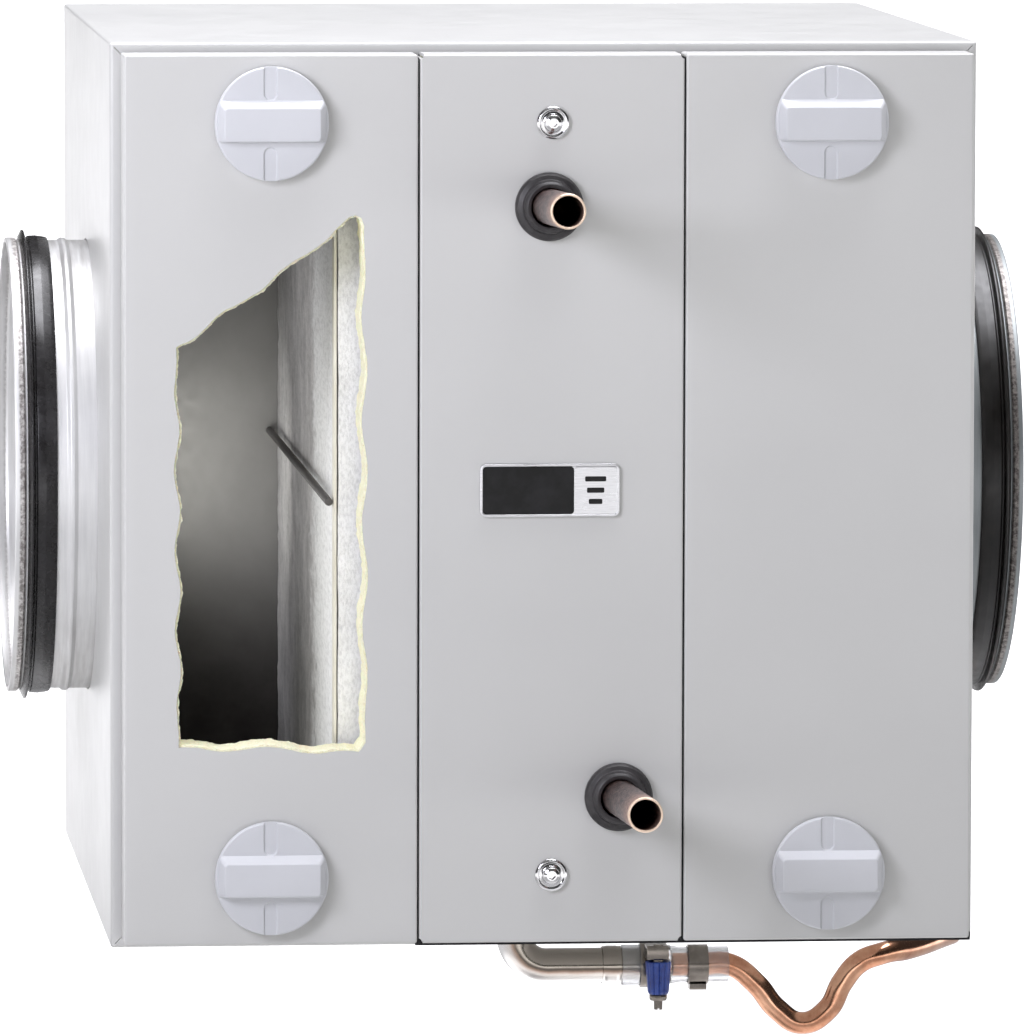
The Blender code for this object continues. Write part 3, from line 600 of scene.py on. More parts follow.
def floor_paint():
    """A pale floor, a little greyer round the object."""
    f = Finish("studio_floor", Roughness=0.9, Specular_IOR_Level=0.1)
    reach = f.vector("DISTANCE", "Value", (0, -0.15, -0.6))
    grain = f.noise(0.6, 2)
    grey = f.colours(grain, (0.3, (0.25, 0.25, 0.245)), (0.7, (0.27, 0.27, 0.265)))
    pale = f.colours(grain, (0.3, (0.87, 0.865, 0.845)), (0.7, (0.89, 0.885, 0.865)))
    near = f.mix(f.levels(reach, 0.1, 0.75, 0.0, 1.0, smooth=True), pale, grey)
    f.colour(f.mix(f.levels(reach, 1.4, 3.2, 0.0, 1.0, smooth=True), near, pale))
    return f.material


SLOT_FINISH = {
    "powder_coat": powder_coat(),
    "foam": foam(),
    "inner_sheet": inner_sheet(),
    "galvanised": galvanised(),
    "gasket": cell_rubber(),
    "rubber": rubber("black_rubber", (0.009, 0.008, 0.008), (0.02, 0.019, 0.019), (0.26, 0.4)),
    "grey_plastic": mottled(
        "grey_plastic", (30, 3), (0.35, (0.54, 0.548, 0.572)), (0.65, (0.558, 0.566, 0.59)), (500, 3),
        (0.32, 0.42), (1700, 2), 0.00001),
    "bright_steel": steel("bright_steel", (0.7, 0.7, 0.71), (0.56, 0.55, 0.54), 0.1, 0.2),
    "copper": copper(),
    "fins": mottled(
        "fin_aluminium", (60, 4), (0.35, (0.58, 0.59, 0.6)), (0.7, (0.74, 0.75, 0.76)), (200, 3),
        (0.3, 0.45), (420, 2), 0.00004, Metallic=0.95),
    "fleece": fleece(),
    "filter_frame": mottled(
        "filter_frame_sheet", (45, 3), (0.35, (0.7, 0.67, 0.56)), (0.7, (0.84, 0.82, 0.72)), (180, 3),
        (0.42, 0.56), (600, 2), 0.00002, 0.4),
    "dark_rod": mottled(
        "dark_rod", (300, 4), (0.35, (0.085, 0.08, 0.074)), (0.7, (0.13, 0.124, 0.116)), (300, 3),
        (0.55, 0.7), (900, 3), 0.00004, Metallic=0.3),
    "badge": mottled(
        "badge_black", (120, 3), (0.4, (0.006, 0.006, 0.006)), (0.7, (0.013, 0.013, 0.014)), (400, 3),
        (0.28, 0.42), (1500, 2), 0.00001, Specular_IOR_Level=0.22),
    "clear_hose": clear_plastic(),
    "blue_plastic": mottled(
        "blue_plastic", (260, 4), (0.35, (0.008, 0.03, 0.205)), (0.7, (0.02, 0.065, 0.33)), (500, 3),
        (0.26, 0.42), (900, 3), 0.00003, Coat_Weight=0.3, Coat_Roughness=0.12),
}
# Painted shade: the right sheet is a darker copy of the left one, for the side that lies away from the light.
SPIGOT_SHEET = {
    "left": spigot_sheet("spigot_sheet_left", (0.66, 0.66, 0.655), (0.78, 0.78, 0.77), (0.42, 0.41, 0.4),
                         (0.22, 0.2, 0.19), (0.6, 0.58, 0.56)),
    "right": spigot_sheet("spigot_sheet_right_painted_shade", (0.22, 0.24, 0.245), (0.32, 0.34, 0.345), (0.18, 0.19, 0.19),
                          (0.07, 0.06, 0.055), (0.24, 0.22, 0.205)),
}
# Painted shade: the right seal is a darker copy of the left one, for the side that lies away from the light.
SEAL_RUBBER = {
    "left": rubber("seal_rubber_left", (0.01, 0.009, 0.009), (0.024, 0.023, 0.024), (0.2, 0.32)),
    "right": rubber("seal_rubber_right_painted_shade", (0.005, 0.0042, 0.0036), (0.012, 0.01, 0.009), (0.3, 0.44)),
}
GROMMET_RUBBER = rubber("grommet_rubber", (0.024, 0.022, 0.023), (0.06, 0.056, 0.057), (0.34, 0.5))
BAND_STEEL = steel("band_steel", (0.24, 0.215, 0.19), (0.13, 0.115, 0.1), 0.18, 0.32)
ELBOW_STEEL = outlet_steel_painted_reflection()
PIPE_COPPER = pipe_copper()
BADGE_SILVER = badge_silver()


# Sheet metal

def casing():
    """Four folded walls and the flange round the front, with mitred corners and the two duct holes."""
    t, front = CASE_SHEET, CASE_FRONT
    outside = soften([(0, 0), (0, front), (FLANGE, front)], CASE_FOLD, 5)
    inside = soften([(FLANGE, front + t), (t, front + t), (t, 0)], CASE_FOLD - t + 0.0004, 3)
    mesh = trays((0, 0), CASE_HALF, 0.0012, outside + inside, closed=True, steps=3)
    piece = make("casing_shell", mesh, "powder_coat", "casing")
    reach = CASE_HALF[0] + 0.01
    cuts = [rod_cutter((-reach, DUCT_Y, DUCT_Z), (reach, DUCT_Y, DUCT_Z), DUCT_HOLE_R, 128),
            rod_cutter((DRAIN_X, DRAIN_Y, -0.15), (DRAIN_X, DRAIN_Y, -0.2), 0.0083, 48)]
    for sign_x in (-1, 1):
        for sign_z in (-1, 1):
            corner = (sign_x * (CASE_HALF[0] - FLANGE / 2), front, sign_z * (CASE_HALF[1] - FLANGE / 2))
            slit = block((-0.02, -0.0025, -0.00012), (0.0105, 0.0025, 0.00012))
            turned = Matrix.Rotation(math.atan2(-sign_z, sign_x), 4, "Y")
            bmesh.ops.transform(slit, matrix=Matrix.Translation(corner) @ turned, verts=slit.verts)
            cuts.append(cutter(slit))
    carve(piece, cuts)


def back_panel():
    low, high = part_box("back_panel")
    edge = 0.0004
    profile = [(edge, high.y), (0, high.y - edge), (0, low.y + edge), (edge, low.y)]
    make("back_sheet", trays((0, 0), flat_middle(low, high)[1], 0.0015, profile), "powder_coat", "back_panel")


# The window's corners in (x, z), and the number and start of the waves in the side that leaves each
WINDOW = [
    (-0.1585, 0.0655, 1, 0.0), (-0.1314, 0.0842, 0, 0.0), (-0.1221, 0.0897, 1, 0.5), (-0.088, 0.118, 0, 0.0),
    (-0.0853, 0.1203, 0, 0.0), (-0.0825, 0.1212, 0, 0.0), (-0.0801, 0.12, 0, 0.0), (-0.0788, 0.1165, 5, 0.37),
    (-0.078, -0.103, 0, 0.0), (-0.081, -0.1068, 2, 0.25), (-0.1575, -0.1045, 5, 0.29),
]
WAVE_HEIGHT = 0.0012


def each_side(points):
    """Each side of an outline: its start, the way to its end and the direction across it."""
    for start, end in zip(points, points[1:] + points[:1]):
        side = Vector(end[:2]) - Vector(start[:2])
        yield start, side, Vector((side.y, -side.x)).normalized()


def window_line(inset=0.0):
    """The opening's outline: its corners, joined by sides with a slow wave. Inset makes it smaller."""
    points = []
    for (x, z, waves, phase), side, normal in each_side(WINDOW):
        count = max(1, waves * 16)
        for j in range(count):
            share = j / count
            fade = min(1.0, 6 * share, 6 * (1 - share))
            lift = WAVE_HEIGHT * fade * math.sin(TAU * (waves * share + phase)) if waves else 0.0
            points.append(Vector((x, z)) + side * share + normal * lift)
    moved = []
    for i, point in enumerate(points):
        way = (points[(i + 1) % len(points)] - points[i - 1]).normalized()
        moved.append(point + Vector((way.y, -way.x)) * inset)
    return moved


def ragged(points, seed, step, roughness):
    """An outline with points added along it, each moved a little at random across it."""
    found = []
    for start, side, normal in each_side(points):
        count = max(1, round(side.length / step))
        for j in range(count):
            point = start + side * (j / count)
            coarse = noise.noise(Vector((point.x * 260, point.y * 260, seed)))
            fine = noise.noise(Vector((point.x * 900, point.y * 900, seed + 7)))
            found.append(tuple(point + normal * roughness * (coarse + 0.6 * fine)))
    return found


def door_skin(name, body, holes, window=None, notches=False, widen=(GAP, GAP)):
    """A folded sheet tray with rounded edges and corners, and its holes of (x, z, radius)."""
    low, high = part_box(name)
    low.x -= widen[0]
    high.x += widen[1]
    t = DOOR_SHEET
    outer = soften([(0.006, DOOR_FACE), (0, DOOR_FACE), (0, DOOR_BACK, 0.0002), (t, DOOR_BACK, 0.0002),
                    (t, DOOR_FACE + t, DOOR_FOLD - 0.0009), (0.006, DOOR_FACE + t)], DOOR_FOLD, 5)
    mesh = trays(*flat_middle(low, high), DOOR_FOLD, outer, steps=5)
    piece = make(name.replace("_skin", "_sheet"), mesh, "powder_coat", name, body=body)
    if notches:
        ends = (low.x - 0.0004, high.x + 0.0004)
        holes = holes + [(x, z, 0.0021) for x in ends for z in (low.z, high.z)]
    cuts = [rod_cutter((x, DOOR_FACE - 0.01, z), (x, DOOR_BACK + 0.01, z), r, 48 if r > 0.0022 else 32)
            for x, z, r in holes]
    if window:
        ends = (DOOR_FACE - 0.005, DOOR_BACK + 0.005)
        cuts.append(cutter(loft([[(x, y, z) for x, z in window] for y in ends])))
    carve(piece, cuts)


def door_foam():
    """The left door's insulation, with a torn cut face that stands a little inside the sheet's own cut."""
    low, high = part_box("left_door_insulation")
    centre, half = flat_middle(low, high)
    line = ragged(window_line(0.0009), 3, 0.001, 0.00035)
    layers = 22
    rings = []
    for i in range(layers + 1):
        y = low.y + (high.y - low.y) * i / layers
        ring = []
        for j, (x, z) in enumerate(line):
            way = (Vector(line[(j + 1) % len(line)]) - Vector(line[j - 1])).normalized()
            lift = noise.noise(Vector((x * 320, y * 320, z * 320))) * 0.00055
            lift += noise.noise(Vector((x * 1100, y * 1100, z * 1100))) * 0.0003
            ring.append((x + way.y * lift, y, z - way.x * lift))
        rings.append(ring)
    outer = [[(centre[0] + x, y, centre[1] + z) for x, z in rect_line(half, 0.0012, 3)]
             for y in (low.y, high.y)]
    mesh = loft(outer, caps=False, mesh=loft(rings, caps=False))
    for y in (low.y, high.y):
        rim = [edge for edge in mesh.edges if all(abs(v.co.y - y) < TINY for v in edge.verts)]
        bmesh.ops.triangle_fill(mesh, use_beauty=True, edges=rim)
    make("left_door_foam", mesh, "foam", "left_door_insulation", body="left_door", sharp=math.radians(60))


def doors():
    for side, widen in (("left", (0, GAP)), ("right", (GAP, 0))):
        knobs = [middle(f"knob_{side}_{level}") for level in LEVELS]
        holes = [(at.x, at.z, 0.0046) for at in knobs]
        window = ragged(window_line(), 1, 0.0012, 0.00018) if side == "left" else None
        door_skin(side + "_door_skin", side + "_door", holes, window, widen=widen)
    door_foam()
    screws = [middle("panel_screw_" + level) for level in LEVELS]
    holes = [(x, z, 0.0105) for x, z, _ in PIPES.values()] + [(at.x, at.z, 0.0027) for at in screws]
    door_skin("middle_panel_skin", "casing_body", holes, notches=True)


def seals():
    """Black rubber profiles, one in each joint between the doors, and a black strip under the doors on the
    right that stands in for painted shade.
    """
    front = DOOR_FACE + 0.0022
    for side in SIDE_SIGN:
        profile = soften([(0, CASE_FRONT - 0.0004), (0, front), (0.0002, front)], 0.0001, 2)
        mesh = trays((middle("mullion_" + side).x, -0.001), (0.00025, 0.1885), 0.0002, profile)
        make("joint_seal_" + side, mesh, "gasket")
    # Painted shade: a black strip where the flange under the doors lies in shadow.
    low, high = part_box("middle_panel_skin")[0].x, CASE_HALF[0] - 0.0008
    front = CASE_FRONT - 0.002
    profile = soften([(0, CASE_FRONT - GAP), (0, front), (0.0004, front)], 0.0003, 3)
    mesh = trays(((low + high) / 2, -0.1912), ((high - low) / 2, 0.0018), 0.0003, profile)
    make("sill_painted_shade_strip", mesh, "gasket")


# Latches and screws

def knob(side, level):
    """A turned disc with a grip across it that slopes on top, and a round-ended groove above and below."""
    node = f"knob_{side}_{level}"
    centre = middle(node)
    face = DOOR_FACE - GAP
    radius, disc, grip = 0.0241, 0.0052, 0.0105
    route = off_panel(centre.x, centre.z)
    profile = [(0, 0), (0, radius - 0.001, 0.0002), (0.001, radius - 0.001, 0.0002), (0.0012, radius, 0.0003),
               (disc, radius, 0.001), (disc, 0)]
    body = make(f"knob_body_{side}_{level}", turn(route, profile, 128, closed=False, soft=(0.001, 5)),
                "grey_plastic", node, body=f"latch_{side}_{level}")
    foot, top, lip = face - disc + 0.0004, face - grip, 0.0008
    shares = [(0.0, 0.0, foot + 0.0004)]
    shares += [(i / 6, 0.0, foot + (top + lip - foot) * i / 6) for i in range(7)]
    shares += [(1.0, lip * (1 - math.cos(math.radians(a))), top + lip * (1 - math.sin(math.radians(a))))
               for a in (25, 50, 75, 90)]
    rings = []
    for share, rounding, y in shares:
        low, high = -0.008 + 0.0006 * share + rounding, 0.0102 - 0.0031 * share - rounding
        line = rect_line((0.0229 - 0.0023 * share - rounding, (high - low) / 2), 0.0016, 5)
        rings.append([(centre.x + x, y, centre.z + (low + high) / 2 + z) for x, z in line])
    bar = cutter(loft(rings))
    inner = radius - 0.0005
    trim = cutter(turn(route, [(0.001, 0), (0.001, inner), (0.02, inner), (0.02, 0)], 128, closed=False))
    carve(bar, [trim], "INTERSECT")
    carve(body, [bar], "UNION")
    carve(body, [cutter(groove(centre, up, face - disc)) for up in (1, -1)], sharp=CRISP)


def groove(centre, up, surface):
    """A shallow groove with sloping walls and a round end, from the grip to the knob's edge."""
    rings = []
    for half, y in ((0.0024, surface + 0.0008), (0.0031, surface - 0.0001), (0.0034, surface - 0.004)):
        arc = [math.pi * i / 14 for i in range(15)]
        line = [(-half * math.cos(a), 0.0127 - half * math.sin(a)) for a in arc]
        line = [(-half, 0.03), *line, (half, 0.03)]
        rings.append([(centre.x - 0.0006 + x, y, centre.z + up * z) for x, z in line])
    return loft(rings)


def screw(level):
    """A plated screw: a thin washer flange, a raised ring and a domed head with a hexagonal socket."""
    node = "panel_screw_" + level
    centre = middle(node)
    face = DOOR_FACE - GAP
    corners = [(0.0042, 0), (0.0042, 0.0022, 0.0004), (0.0036, 0.0034, 0.0006), (0.0016, 0.004, 0.0003),
               (0.0014, 0.005, 0.0003), (0.0019, 0.006, 0.0004), (0.0012, 0.0069, 0.0003),
               (0, 0.0069, 0.0001), (0, 0.0022, 0), (-0.0305, 0.0022, 0.0002), (-0.0305, 0)]
    mesh = turn(off_panel(centre.x, centre.z), corners, closed=False, soft=(0.0003, 3))
    piece = make("screw_" + level, mesh, "bright_steel", node)
    socket = rod_cutter((centre.x, face - 0.006, centre.z), (centre.x, face - 0.0022, centre.z), 0.0017, 6)
    carve(piece, [socket], sharp=CRISP)


# Ducts, pipes and badge

def spigot(side):
    """The round spigot: a pressed bead near the casing, a rolled rim, and its double-lip rubber seal."""
    sign = SIDE_SIGN[side]
    radius, bore, reach, inner = 0.0995, 0.0986, 0.0358, -0.0214
    rim, flare, bead, dent = radius + 0.0012, radius + 0.004, radius + 0.0011, bore + 0.0008
    route = axis_route((sign * CASE_HALF[0], DUCT_Y, DUCT_Z), (sign, 0, 0))
    corners = [
        (reach, bore - 0.0001, 0.0005), (reach, rim, 0.0006), (reach - 0.004, rim, 0.0007),
        (reach - 0.005, radius, 0.0006), (0.013, radius, 0.0006), (0.0114, bead, 0.0008),
        (0.01, bead, 0.0008), (0.0084, radius, 0.0006), (inner, radius, 0.0004),
        (inner, flare, 0.0002), (inner - 0.001, flare, 0.0002),
        (inner - 0.001, bore, 0.0006), (0.0086, bore, 0.0006), (0.01, dent, 0.0008), (0.0114, dent, 0.0008),
        (0.0128, bore, 0.0006), (reach - 0.0052, bore, 0.0006), (reach - 0.004, bore + 0.0004, 0.0006),
    ]
    make("spigot_tube_" + side, turn(route, corners, 160, soft=(0.0004, 3)), "galvanised", "spigot_" + side,
         finish=SPIGOT_SHEET[side])
    # The seal's corners, as distance, height over the tube and rounding
    lips = [(0.0302, 0.0003, 0.0001), (0.0302, 0.0013, 0.0003), (0.0286, 0.0046, 0.0003),
            (0.0278, 0.0044, 0.0003), (0.0272, 0.0013, 0.0005), (0.0264, 0.0012, 0.0004),
            (0.026, 0.0019, 0.0004), (0.0225, 0.0021, 0.003), (0.019, 0.0016, 0.001),
            (0.0174, 0.0012, 0.0005), (0.0174, 0.0003, 0.0001)]
    seal = turn(route, [(along, radius + height, own) for along, height, own in lips], 160, soft=(0.0003, 3))
    make("duct_seal_" + side, seal, "rubber", "lip_seal_" + side, finish=SEAL_RUBBER[side])


def pipe(level):
    x, z, lean = PIPES[level]
    way = (lean * PIPE_SPLAY, -math.cos(PIPE_RISE), math.sin(PIPE_RISE))
    inner_end, outer_end = -0.0421, 0.098
    radius, bore = 0.0075, 0.0065
    corners = [
        (inner_end, bore, 0.0001), (inner_end, radius, 0.0001), (outer_end - 0.0012, radius, 0.0008),
        (outer_end, radius - 0.0003, 0.0003), (outer_end, bore, 0.00015),
        (outer_end - 0.001, bore - 0.0001, 0.0004),
    ]
    tube = turn(axis_route((x, DOOR_FACE, z), way), corners, 96, wavy(0.0015, 3, 40), soft=(0.0003, 4))
    make("copper_pipe_" + level, tube, "copper", "pipe_" + level, finish=PIPE_COPPER)


def grommet(level):
    """A rubber sleeve: a thin flange on the panel, and a collar that closes round the pipe."""
    x, z, _ = PIPES[level]
    corners = [
        (-0.0045, 0.0083, 0.0003), (-0.0045, 0.0102, 0.0003), (0, 0.0102, 0.0002), (0, 0.0146, 0.0004),
        (0.0026, 0.0145, 0.001), (0.004, 0.0136, 0.001), (0.0046, 0.0116, 0.0008), (0.0076, 0.011, 0.001),
        (0.0086, 0.0098, 0.0006), (0.0084, 0.0083, 0.0004),
    ]
    sleeve = turn(off_panel(x, z), corners, 96, soft=(0.0005, 4))
    make("pipe_sleeve_" + level, sleeve, "rubber", "grommet_" + level, finish=GROMMET_RUBBER)


def badge():
    """A plate with a silver rim, a plain black field and a silver square that holds three plain bars."""
    low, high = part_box("badge")
    (_, z), (half_x, half_z) = centre, half = flat_middle(low, high)
    back, front = high.y, low.y
    rim = [(0, back), (0, front, 0.0004), (0.001, front), (0.0012, front + 0.0004)]
    make("badge_rim", trays(centre, half, 0.0026, soften(rim, 0.0003, 3)), "badge", "badge",
         finish=BADGE_SILVER)
    inset = 0.0011
    split = low.x + 0.674 * 2 * half_x
    square = (split + high.x - inset) / 2

    def plate(name, x, width, height, corner, foot, face, edge, finish=None):
        profile = soften([(0, front + foot), (0, front + face), (edge, front + face)], 0.0001, 2)
        make(name, trays((x, height), width, corner, profile), "badge", finish=finish)

    field = (low.x + inset + split) / 2
    plate("badge_field", field, (split - field, half_z - inset), z, 0.0016, 0.0009, 0.00035, 0.0006)
    plate("badge_square", square, (square - split, half_z - inset), z, 0.0016, 0.0009, 0.0002, 0.0006,
          BADGE_SILVER)
    for i in range(3):
        width = (0.0045 - 0.0008 * i, 0.0011)
        plate(f"badge_bar_{i}", square, width, z + 0.0048 - 0.0048 * i, 0.0005, 0.0004, 0.00005, 0.0004)


# Filter and coil

def fleece_block():
    """The fibre pad: a rounded slab whose faces are pushed about by stretched noise."""
    low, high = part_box("filter_fleece")
    size = high - low
    counts = (6, 110, 110)
    mesh = bmesh.new()
    index = {}
    edge = 0.0012

    def corner(i, j, k):
        key = (i, j, k)
        if key not in index:
            point = low + Vector([size[axis] * key[axis] / counts[axis] for axis in range(3)])
            for axis in range(3):
                point[axis] = min(max(point[axis], low[axis] + edge * 0.3), high[axis] - edge * 0.3)
            fibre = noise.noise(Vector((point.x * 500, point.y * 80, point.z * 260)))
            tuft = noise.noise(Vector((point.x * 140, point.y * 40, point.z * 90)) + Vector((5, 5, 5)))
            lift = 0.00028 * fibre + 0.00035 * tuft
            if i in (0, counts[0]):
                point.x += lift if i else -lift
            if j in (0, counts[1]):
                point.y += lift * 1.5
            index[key] = mesh.verts.new(point)
        return index[key]

    for axis in range(3):
        one, two = [a for a in range(3) if a != axis]
        for side in (0, counts[axis]):
            for a in range(counts[one]):
                for b in range(counts[two]):
                    quad = []
                    for da, db in ((0, 0), (1, 0), (1, 1), (0, 1)):
                        place = [0, 0, 0]
                        place[axis], place[one], place[two] = side, a + da, b + db
                        quad.append(corner(*place))
                    mesh.faces.new(quad)
    make("filter_pad", mesh, "fleece", "filter_fleece", sharp=math.radians(70))


def stiffener():
    low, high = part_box("filter_stiffener")
    centre = (low + high) / 2
    radius, length = (high.z - low.z) / 2, high.y - low.y
    profile = soften([(0, 0), (0, radius, 0.0004), (length, radius, 0.0004), (length, 0)], 0.0004, 3)
    route = axis_route((centre.x, low.y, centre.z), (0, 1, 0))
    mesh = turn(route, divided(profile, False), 16, wavy(0.03, 1, 2400), closed=False)
    make("filter_wire", mesh, "dark_rod", "filter_stiffener")


def fins():
    """A pack of thin plates between the coil's end plates, each with its edges folded a little."""
    low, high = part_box("fin_block")
    pitch, thick, steps = 0.0024, 0.00022, 9
    mesh = bmesh.new()
    for i in range(int((high.y - low.y) / pitch)):
        y = low.y + pitch * (i + 0.5)
        rings = []
        for j in range(steps + 1):
            x = low.x + (high.x - low.x) * j / steps
            wave = 0.00035 * (1 if j % 2 else -1)
            ends = ((-thick / 2, low.z), (thick / 2, low.z), (thick / 2, high.z), (-thick / 2, high.z))
            rings.append([(x, y + wave + dy, z) for dy, z in ends])
        loft(rings, mesh=mesh)
    make("fin_plates", mesh, "fins", "fin_block", sharp=math.radians(20))


# Drain

ALONG_DRAIN = axis_route((0, DRAIN_Y, DRAIN_Z), (1, 0, 0))


def flat(x, z):
    return (x, DRAIN_Y, z)


def outlined(marks, near, end, radius, bore):
    """A bent tube's outline: along its outside, round its end from near it, and back along its bore."""
    tip = soften([(near, radius), (end, radius, 0.0004), (end, bore, 0.0003), (near, bore)], 0.0003, 3)
    return [(mark, radius) for mark in marks] + tip + [(mark, bore) for mark in reversed(marks)]


def elbow():
    """The polished outlet: down out of the casing, round a bend, and into the hose."""
    x, z = DRAIN_X + ELBOW_BEND, DRAIN_Z + ELBOW_BEND
    angles = [math.radians(180 + 90 * i / 24) for i in range(25)]
    bend = [flat(x + ELBOW_BEND * math.cos(angle), z + ELBOW_BEND * math.sin(angle)) for angle in angles]
    route = Route([flat(DRAIN_X, -0.1719), *bend, flat(0.074, DRAIN_Z)], (0, 1, 0))
    radius, bore, end = ELBOW_R, 0.0069, route.length
    marks = route.marks[1:-1]
    profile = [(0, bore), (0, radius)] + outlined(marks, marks[-1] + 0.001, end, radius, bore)
    make("outlet_elbow", turn(route, profile), "bright_steel", "drain_elbow", finish=ELBOW_STEEL)


def drain_fittings():
    """The ring pressed on the outlet, and the clear hose that is narrower over the copper."""
    rim, lifted, waist, fit = 0.0082, 0.0088, 0.0085, 0.0059
    ring = [
        (0.0457, rim, 0.0001), (0.0457, lifted, 0.00025), (0.0466, waist, 0.0003), (0.0478, lifted, 0.0004),
        (0.052, lifted, 0.0004), (0.0532, waist, 0.0003), (0.0541, lifted, 0.00025), (0.0541, rim, 0.0001),
    ]
    # The ring carries the outlet's painted reflections too.
    make("press_ring", turn(ALONG_DRAIN, ring, soft=(0.0002, 3)), "bright_steel", "elbow_ferrule",
         finish=ELBOW_STEEL)
    hose = [(0.1026, fit, 0.0002), (0.1026, 0.0079, 0.0003), (0.0805, 0.0079, 0.003), (0.0745, 0.009, 0.003),
            (0.0545, 0.009, 0.0003), (0.0545, rim, 0.0002), (0.0745, rim, 0.0006), (0.0765, fit, 0.0006)]
    profile = divided(soften(hose, 0.0003, 4, closed=True), True)
    tube = turn(ALONG_DRAIN, profile, shape=wavy(0.006, 2, 70, 0.0075))
    make("soft_hose", tube, "clear_hose", "clear_hose")


def worm_clamp():
    """A slotted band round the hose with the housing of its worm screw."""
    start, end, inner, outer = 0.0627, 0.0748, 0.0093, 0.0101
    slots = 46

    def slotted(angle, reach, distance):
        in_row = start + 0.003 < distance < end - 0.003 and reach > 0.0098
        return reach - (0.00028 if in_row and math.sin(angle * slots) > 0.25 else 0.0)

    line = [(start, inner), (start, outer - 0.0002), (start + 0.0003, outer)]
    line += [(start + 0.0028 + 0.0004 * i, outer) for i in range(17)]
    line += [(end - 0.0003, outer), (end, outer - 0.0002), (end, inner)]
    band = make("worm_band", turn(ALONG_DRAIN, line, 276, slotted), "bright_steel", "clamp_band_left",
                finish=BAND_STEEL)
    key = middle("clamp_thumb_knob")
    low, high = (key.x - 0.0055, key.y - 0.0034, -0.2255), (key.x + 0.0045, DRAIN_Y - 0.0085, -0.219)
    carve(band, [cutter(block(low, high, 0.0009))], "UNION")
    cuts = [rod_cutter(flat(0.055, DRAIN_Z), flat(0.085, DRAIN_Z), inner, 276),
            rod_cutter((key.x, key.y, -0.232), (key.x, key.y, -0.212), 0.0025, 32)]
    carve(band, cuts, sharp=CRISP)


def key_route(node):
    """Down through the clamp's key, and the length of one of its pieces."""
    low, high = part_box(node)
    centre = (low + high) / 2
    return axis_route((centre.x, centre.y, high.z), (0, 0, -1), (1, 0, 0)), high.z - low.z


def thumb_knob():
    route, length = key_route("clamp_thumb_knob")
    radius, bore, flutes = 0.0058, 0.0025, 12

    def fluted(angle, reach, distance):
        wave = abs(math.sin(angle * flutes / 2))
        return reach - (0.00064 * (1 - wave) ** 2 if reach > 0.004 else 0.0)

    corners = [(0, bore, 0.0002), (0, radius - 0.0003, 0.0005), (0.0006, radius, 0.0004),
               (0.003, radius - 0.0002, 0.001), (length - 0.0012, radius - 0.001, 0.0006),
               (length, radius - 0.0016, 0.0005), (length, bore, 0.0002)]
    make("thumb_grip", turn(route, corners, 144, fluted, soft=(0.0003, 4)), "blue_plastic",
         "clamp_thumb_knob", body="clamp_key", sharp=math.radians(50))


def worm_screw():
    """The screw's shaft, a collar under the grip and a slotted tip."""
    route, length = key_route("clamp_worm_screw")
    tip = route.at(length)[0]
    collar = 0.0228
    corners = [(0, 0), (0, 0.0022, 0.0003), (collar, 0.0022, 0.0002), (collar, 0.004, 0.0003),
               (collar + 0.0012, 0.0041, 0.0004), (collar + 0.0025, 0.0036, 0.0004),
               (collar + 0.0026, 0.002, 0.0002), (length, 0.0019, 0.0003), (length, 0)]
    piece = make("worm_shaft", turn(route, corners, 48, closed=False, soft=(0.0003, 3)), "bright_steel",
                 "clamp_worm_screw", body="clamp_key", finish=BAND_STEEL)
    slot = block(tip + Vector((-0.0004, -0.01, -0.001)), tip + Vector((0.0004, 0.01, 0.0007)))
    carve(piece, [cutter(slot)], sharp=CRISP)


def ear_clamp():
    """A crimped band with its pinched ear underneath."""
    start, end, inner, outer = 0.0843, 0.0933, 0.0082, 0.0089
    corners = [(start, inner, 0.0001), (start, outer, 0.0002), (end, outer, 0.0002), (end, inner, 0.0001)]
    band = make("crimp_band", turn(ALONG_DRAIN, corners, 96, soft=(0.0002, 3)), "bright_steel",
                "clamp_band_right", finish=BAND_STEEL)
    top, bottom, half = DRAIN_Z - 0.0084, DRAIN_Z - 0.0112, 0.0045
    wide, narrow = 0.92 * half, 0.3 * half
    line = soften([(-half, top), (-wide, bottom, 0.0012), (-narrow, bottom), (0, bottom + 0.001),
                   (narrow, bottom), (wide, bottom, 0.0012), (half, top)], 0.0006)
    ear = loft([[(x, DRAIN_Y + y, z) for y, z in line] for x in (0.085, 0.0926)])
    carve(band, [cutter(ear)], "UNION", sharp=CRISP)


def trap():
    """The water seal: a bent copper tube that runs back towards the wall."""
    level = -0.2264
    route = smooth_route([
        flat(0.077, DRAIN_Z), flat(0.09, DRAIN_Z), flat(0.1035, DRAIN_Z - 0.0003), flat(0.1155, -0.2392),
        flat(0.125, -0.2507), flat(0.1362, -0.2572), flat(0.1478, -0.2512), flat(0.1546, -0.2388),
        flat(0.1622, -0.23), (0.172, DRAIN_Y + 0.0015, level), (0.185, DRAIN_Y + 0.016, level),
        (0.213, -0.132, level),
    ])
    radius, bore, last = 0.005, 0.0041, route.length
    marks = [mark for mark in route.marks[1:-1] if 0.0025 < mark < last - 0.0025]
    profile = soften([(0.002, bore), (0, bore, 0.0003), (0, radius, 0.0004), (0.002, radius)], 0.0003, 3)
    profile += outlined(marks, last - 0.002, last, radius, bore)
    make("trap_tube", turn(route, profile, 48, wavy(0.01, 2, 60)), "copper", "siphon_tube")


# Studio

# How bright the room is at each height of the view, from level to straight up
WORLD_STOPS = ((0.0, 0.9), (0.02, 0.9), (0.05, 0.05), (0.55, 0.05), (0.8, 0.25))


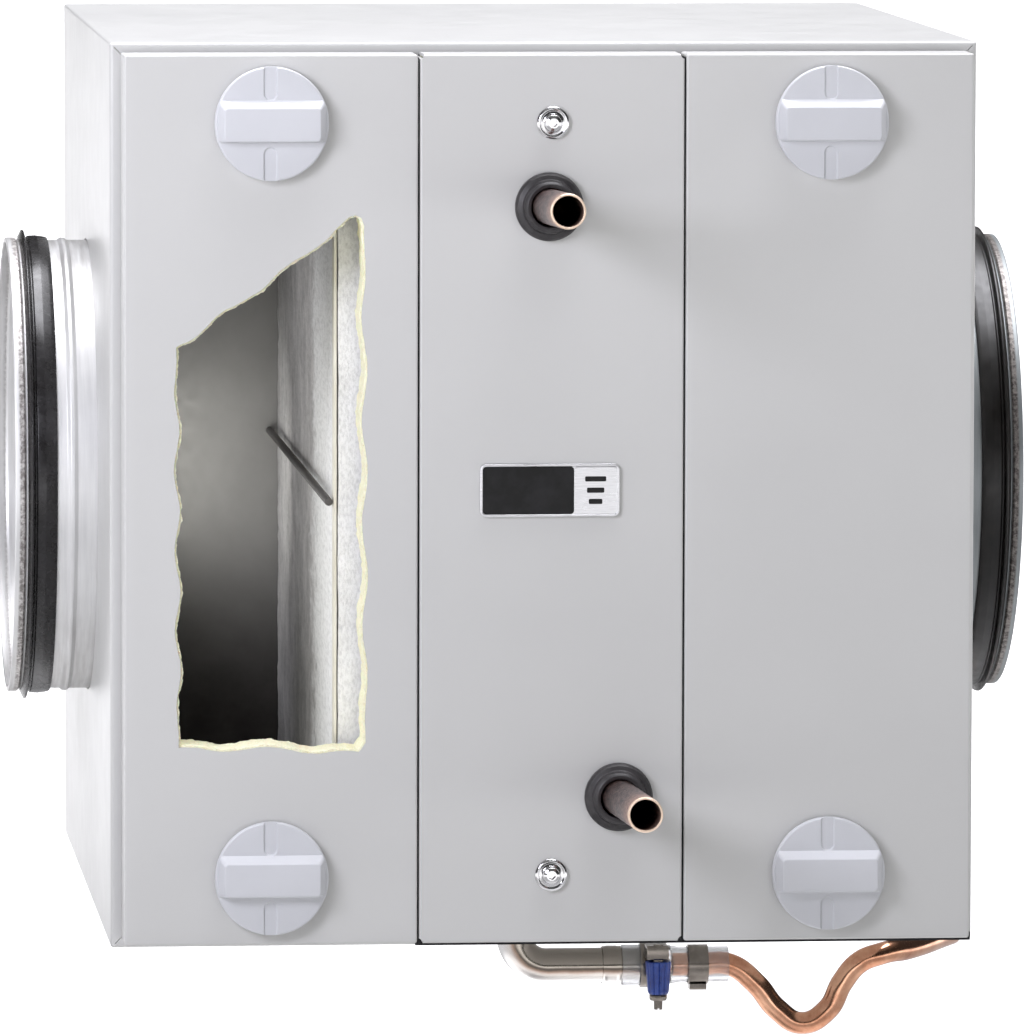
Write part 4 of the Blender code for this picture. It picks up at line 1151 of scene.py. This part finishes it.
def room():
    """A dim room with a pale horizon, and its floor."""
    world = bpy.data.worlds.new("studio")
    bpy.context.scene.world = world
    world.use_nodes = True
    tree = world.node_tree
    height = add_node(tree, "SeparateXYZ", "Z", {"Vector": add_node(tree, "TexCoord", "Generated", {})})
    shade = set_stops(tree, height, [(place, (bright, bright, bright)) for place, bright in WORLD_STOPS])
    put(tree, shade, tree.nodes["Background"].inputs["Color"])
    floor = bmesh.new()
    bmesh.ops.create_grid(floor, x_segments=6, y_segments=6, size=90.0)
    bmesh.ops.translate(floor, vec=(0, 20, -0.6), verts=floor.verts)
    data = bpy.data.meshes.new("floor")
    floor.to_mesh(data)
    floor.free()
    data.materials.append(floor_paint())
    add("floor", data)


def lamp(name, kind, place, power, colour, aim=(0, -0.3, 0), **settings):
    data = bpy.data.lights.new(name, kind)
    data.energy = power
    data.color = colour
    for key, value in settings.items():
        setattr(data, key, value)
    obj = add(name, data)
    obj.location = place
    obj.rotation_mode = "QUATERNION"
    obj.rotation_quaternion = (Vector(aim) - Vector(place)).to_track_quat("-Z", "Y")
    obj.visible_camera = False


def studio():
    """Broad light from above, a large panel at the front left and two small glows in the left opening."""
    room()
    lamp("overhead", "SUN", (0.3, 0.12, 3.0), 6.8, (0.95, 0.95, 1.0), angle=math.radians(50))
    lamp("key", "AREA", (-0.75, -1.18, 0.42), 8.7, (0.9, 0.9, 1.0), shape="SQUARE", size=0.45)
    lamp("fleece_glow", "AREA", (-0.158, -0.325, -0.06), 0.09, (1, 1, 0.98), (0.2, -0.3, -0.06),
          shape="RECTANGLE", size=0.12, size_y=0.22)
    lamp("duct_glow", "AREA", (-0.15, DUCT_Y + 0.08, DUCT_Z - 0.02), 0.029, (1, 1, 0.97),
          (-0.085, 0.0, -0.02), shape="SQUARE", size=0.07, spread=math.radians(100))
    settings = bpy.context.scene.view_settings
    settings.view_transform = "Standard"
    settings.look = "None"


def camera():
    """The photograph's viewing angle, from a little left of the front and above it, with a long lens."""
    azimuth, elevation, roll = math.radians(5.2965), math.radians(5.2494), math.radians(0.1266)
    distance = 4.5101
    target = Vector((0.00584, -0.2, -0.02821))
    data = bpy.data.cameras.new("camera")
    data.sensor_fit = "VERTICAL"
    data.sensor_height = 36.0
    data.lens = 351.53
    data.clip_start, data.clip_end = 0.1, 400.0
    obj = add("camera", data)
    turned = Matrix.Rotation(-azimuth, 4, "Z") @ Matrix.Rotation(math.pi / 2 - elevation, 4, "X")
    turned = turned @ Matrix.Rotation(roll, 4, "Z")
    obj.matrix_world = Matrix.Translation(target) @ turned @ Matrix.Translation((0, 0, distance))
    bpy.context.scene.camera = obj


for build in (casing, back_panel, doors, seals):
    build()
for side in SIDE_SIGN:
    for level in LEVELS:
        knob(side, level)
    spigot(side)
for level in LEVELS:
    screw(level)
for level in PIPES:
    pipe(level)
    grommet(level)
for build in (badge, fleece_block, stiffener, fins, elbow, drain_fittings, worm_clamp, thumb_knob, worm_screw,
              ear_clamp, trap):
    build()
for part in frame["record"]["subparts"]:
    shown = frame["nodes"][part["node"]]
    if not shown.hide_render:
        shown.data.materials.clear()
        shown.data.materials.append(SLOT_FINISH[part["material_slot"]])
camera()
studio()
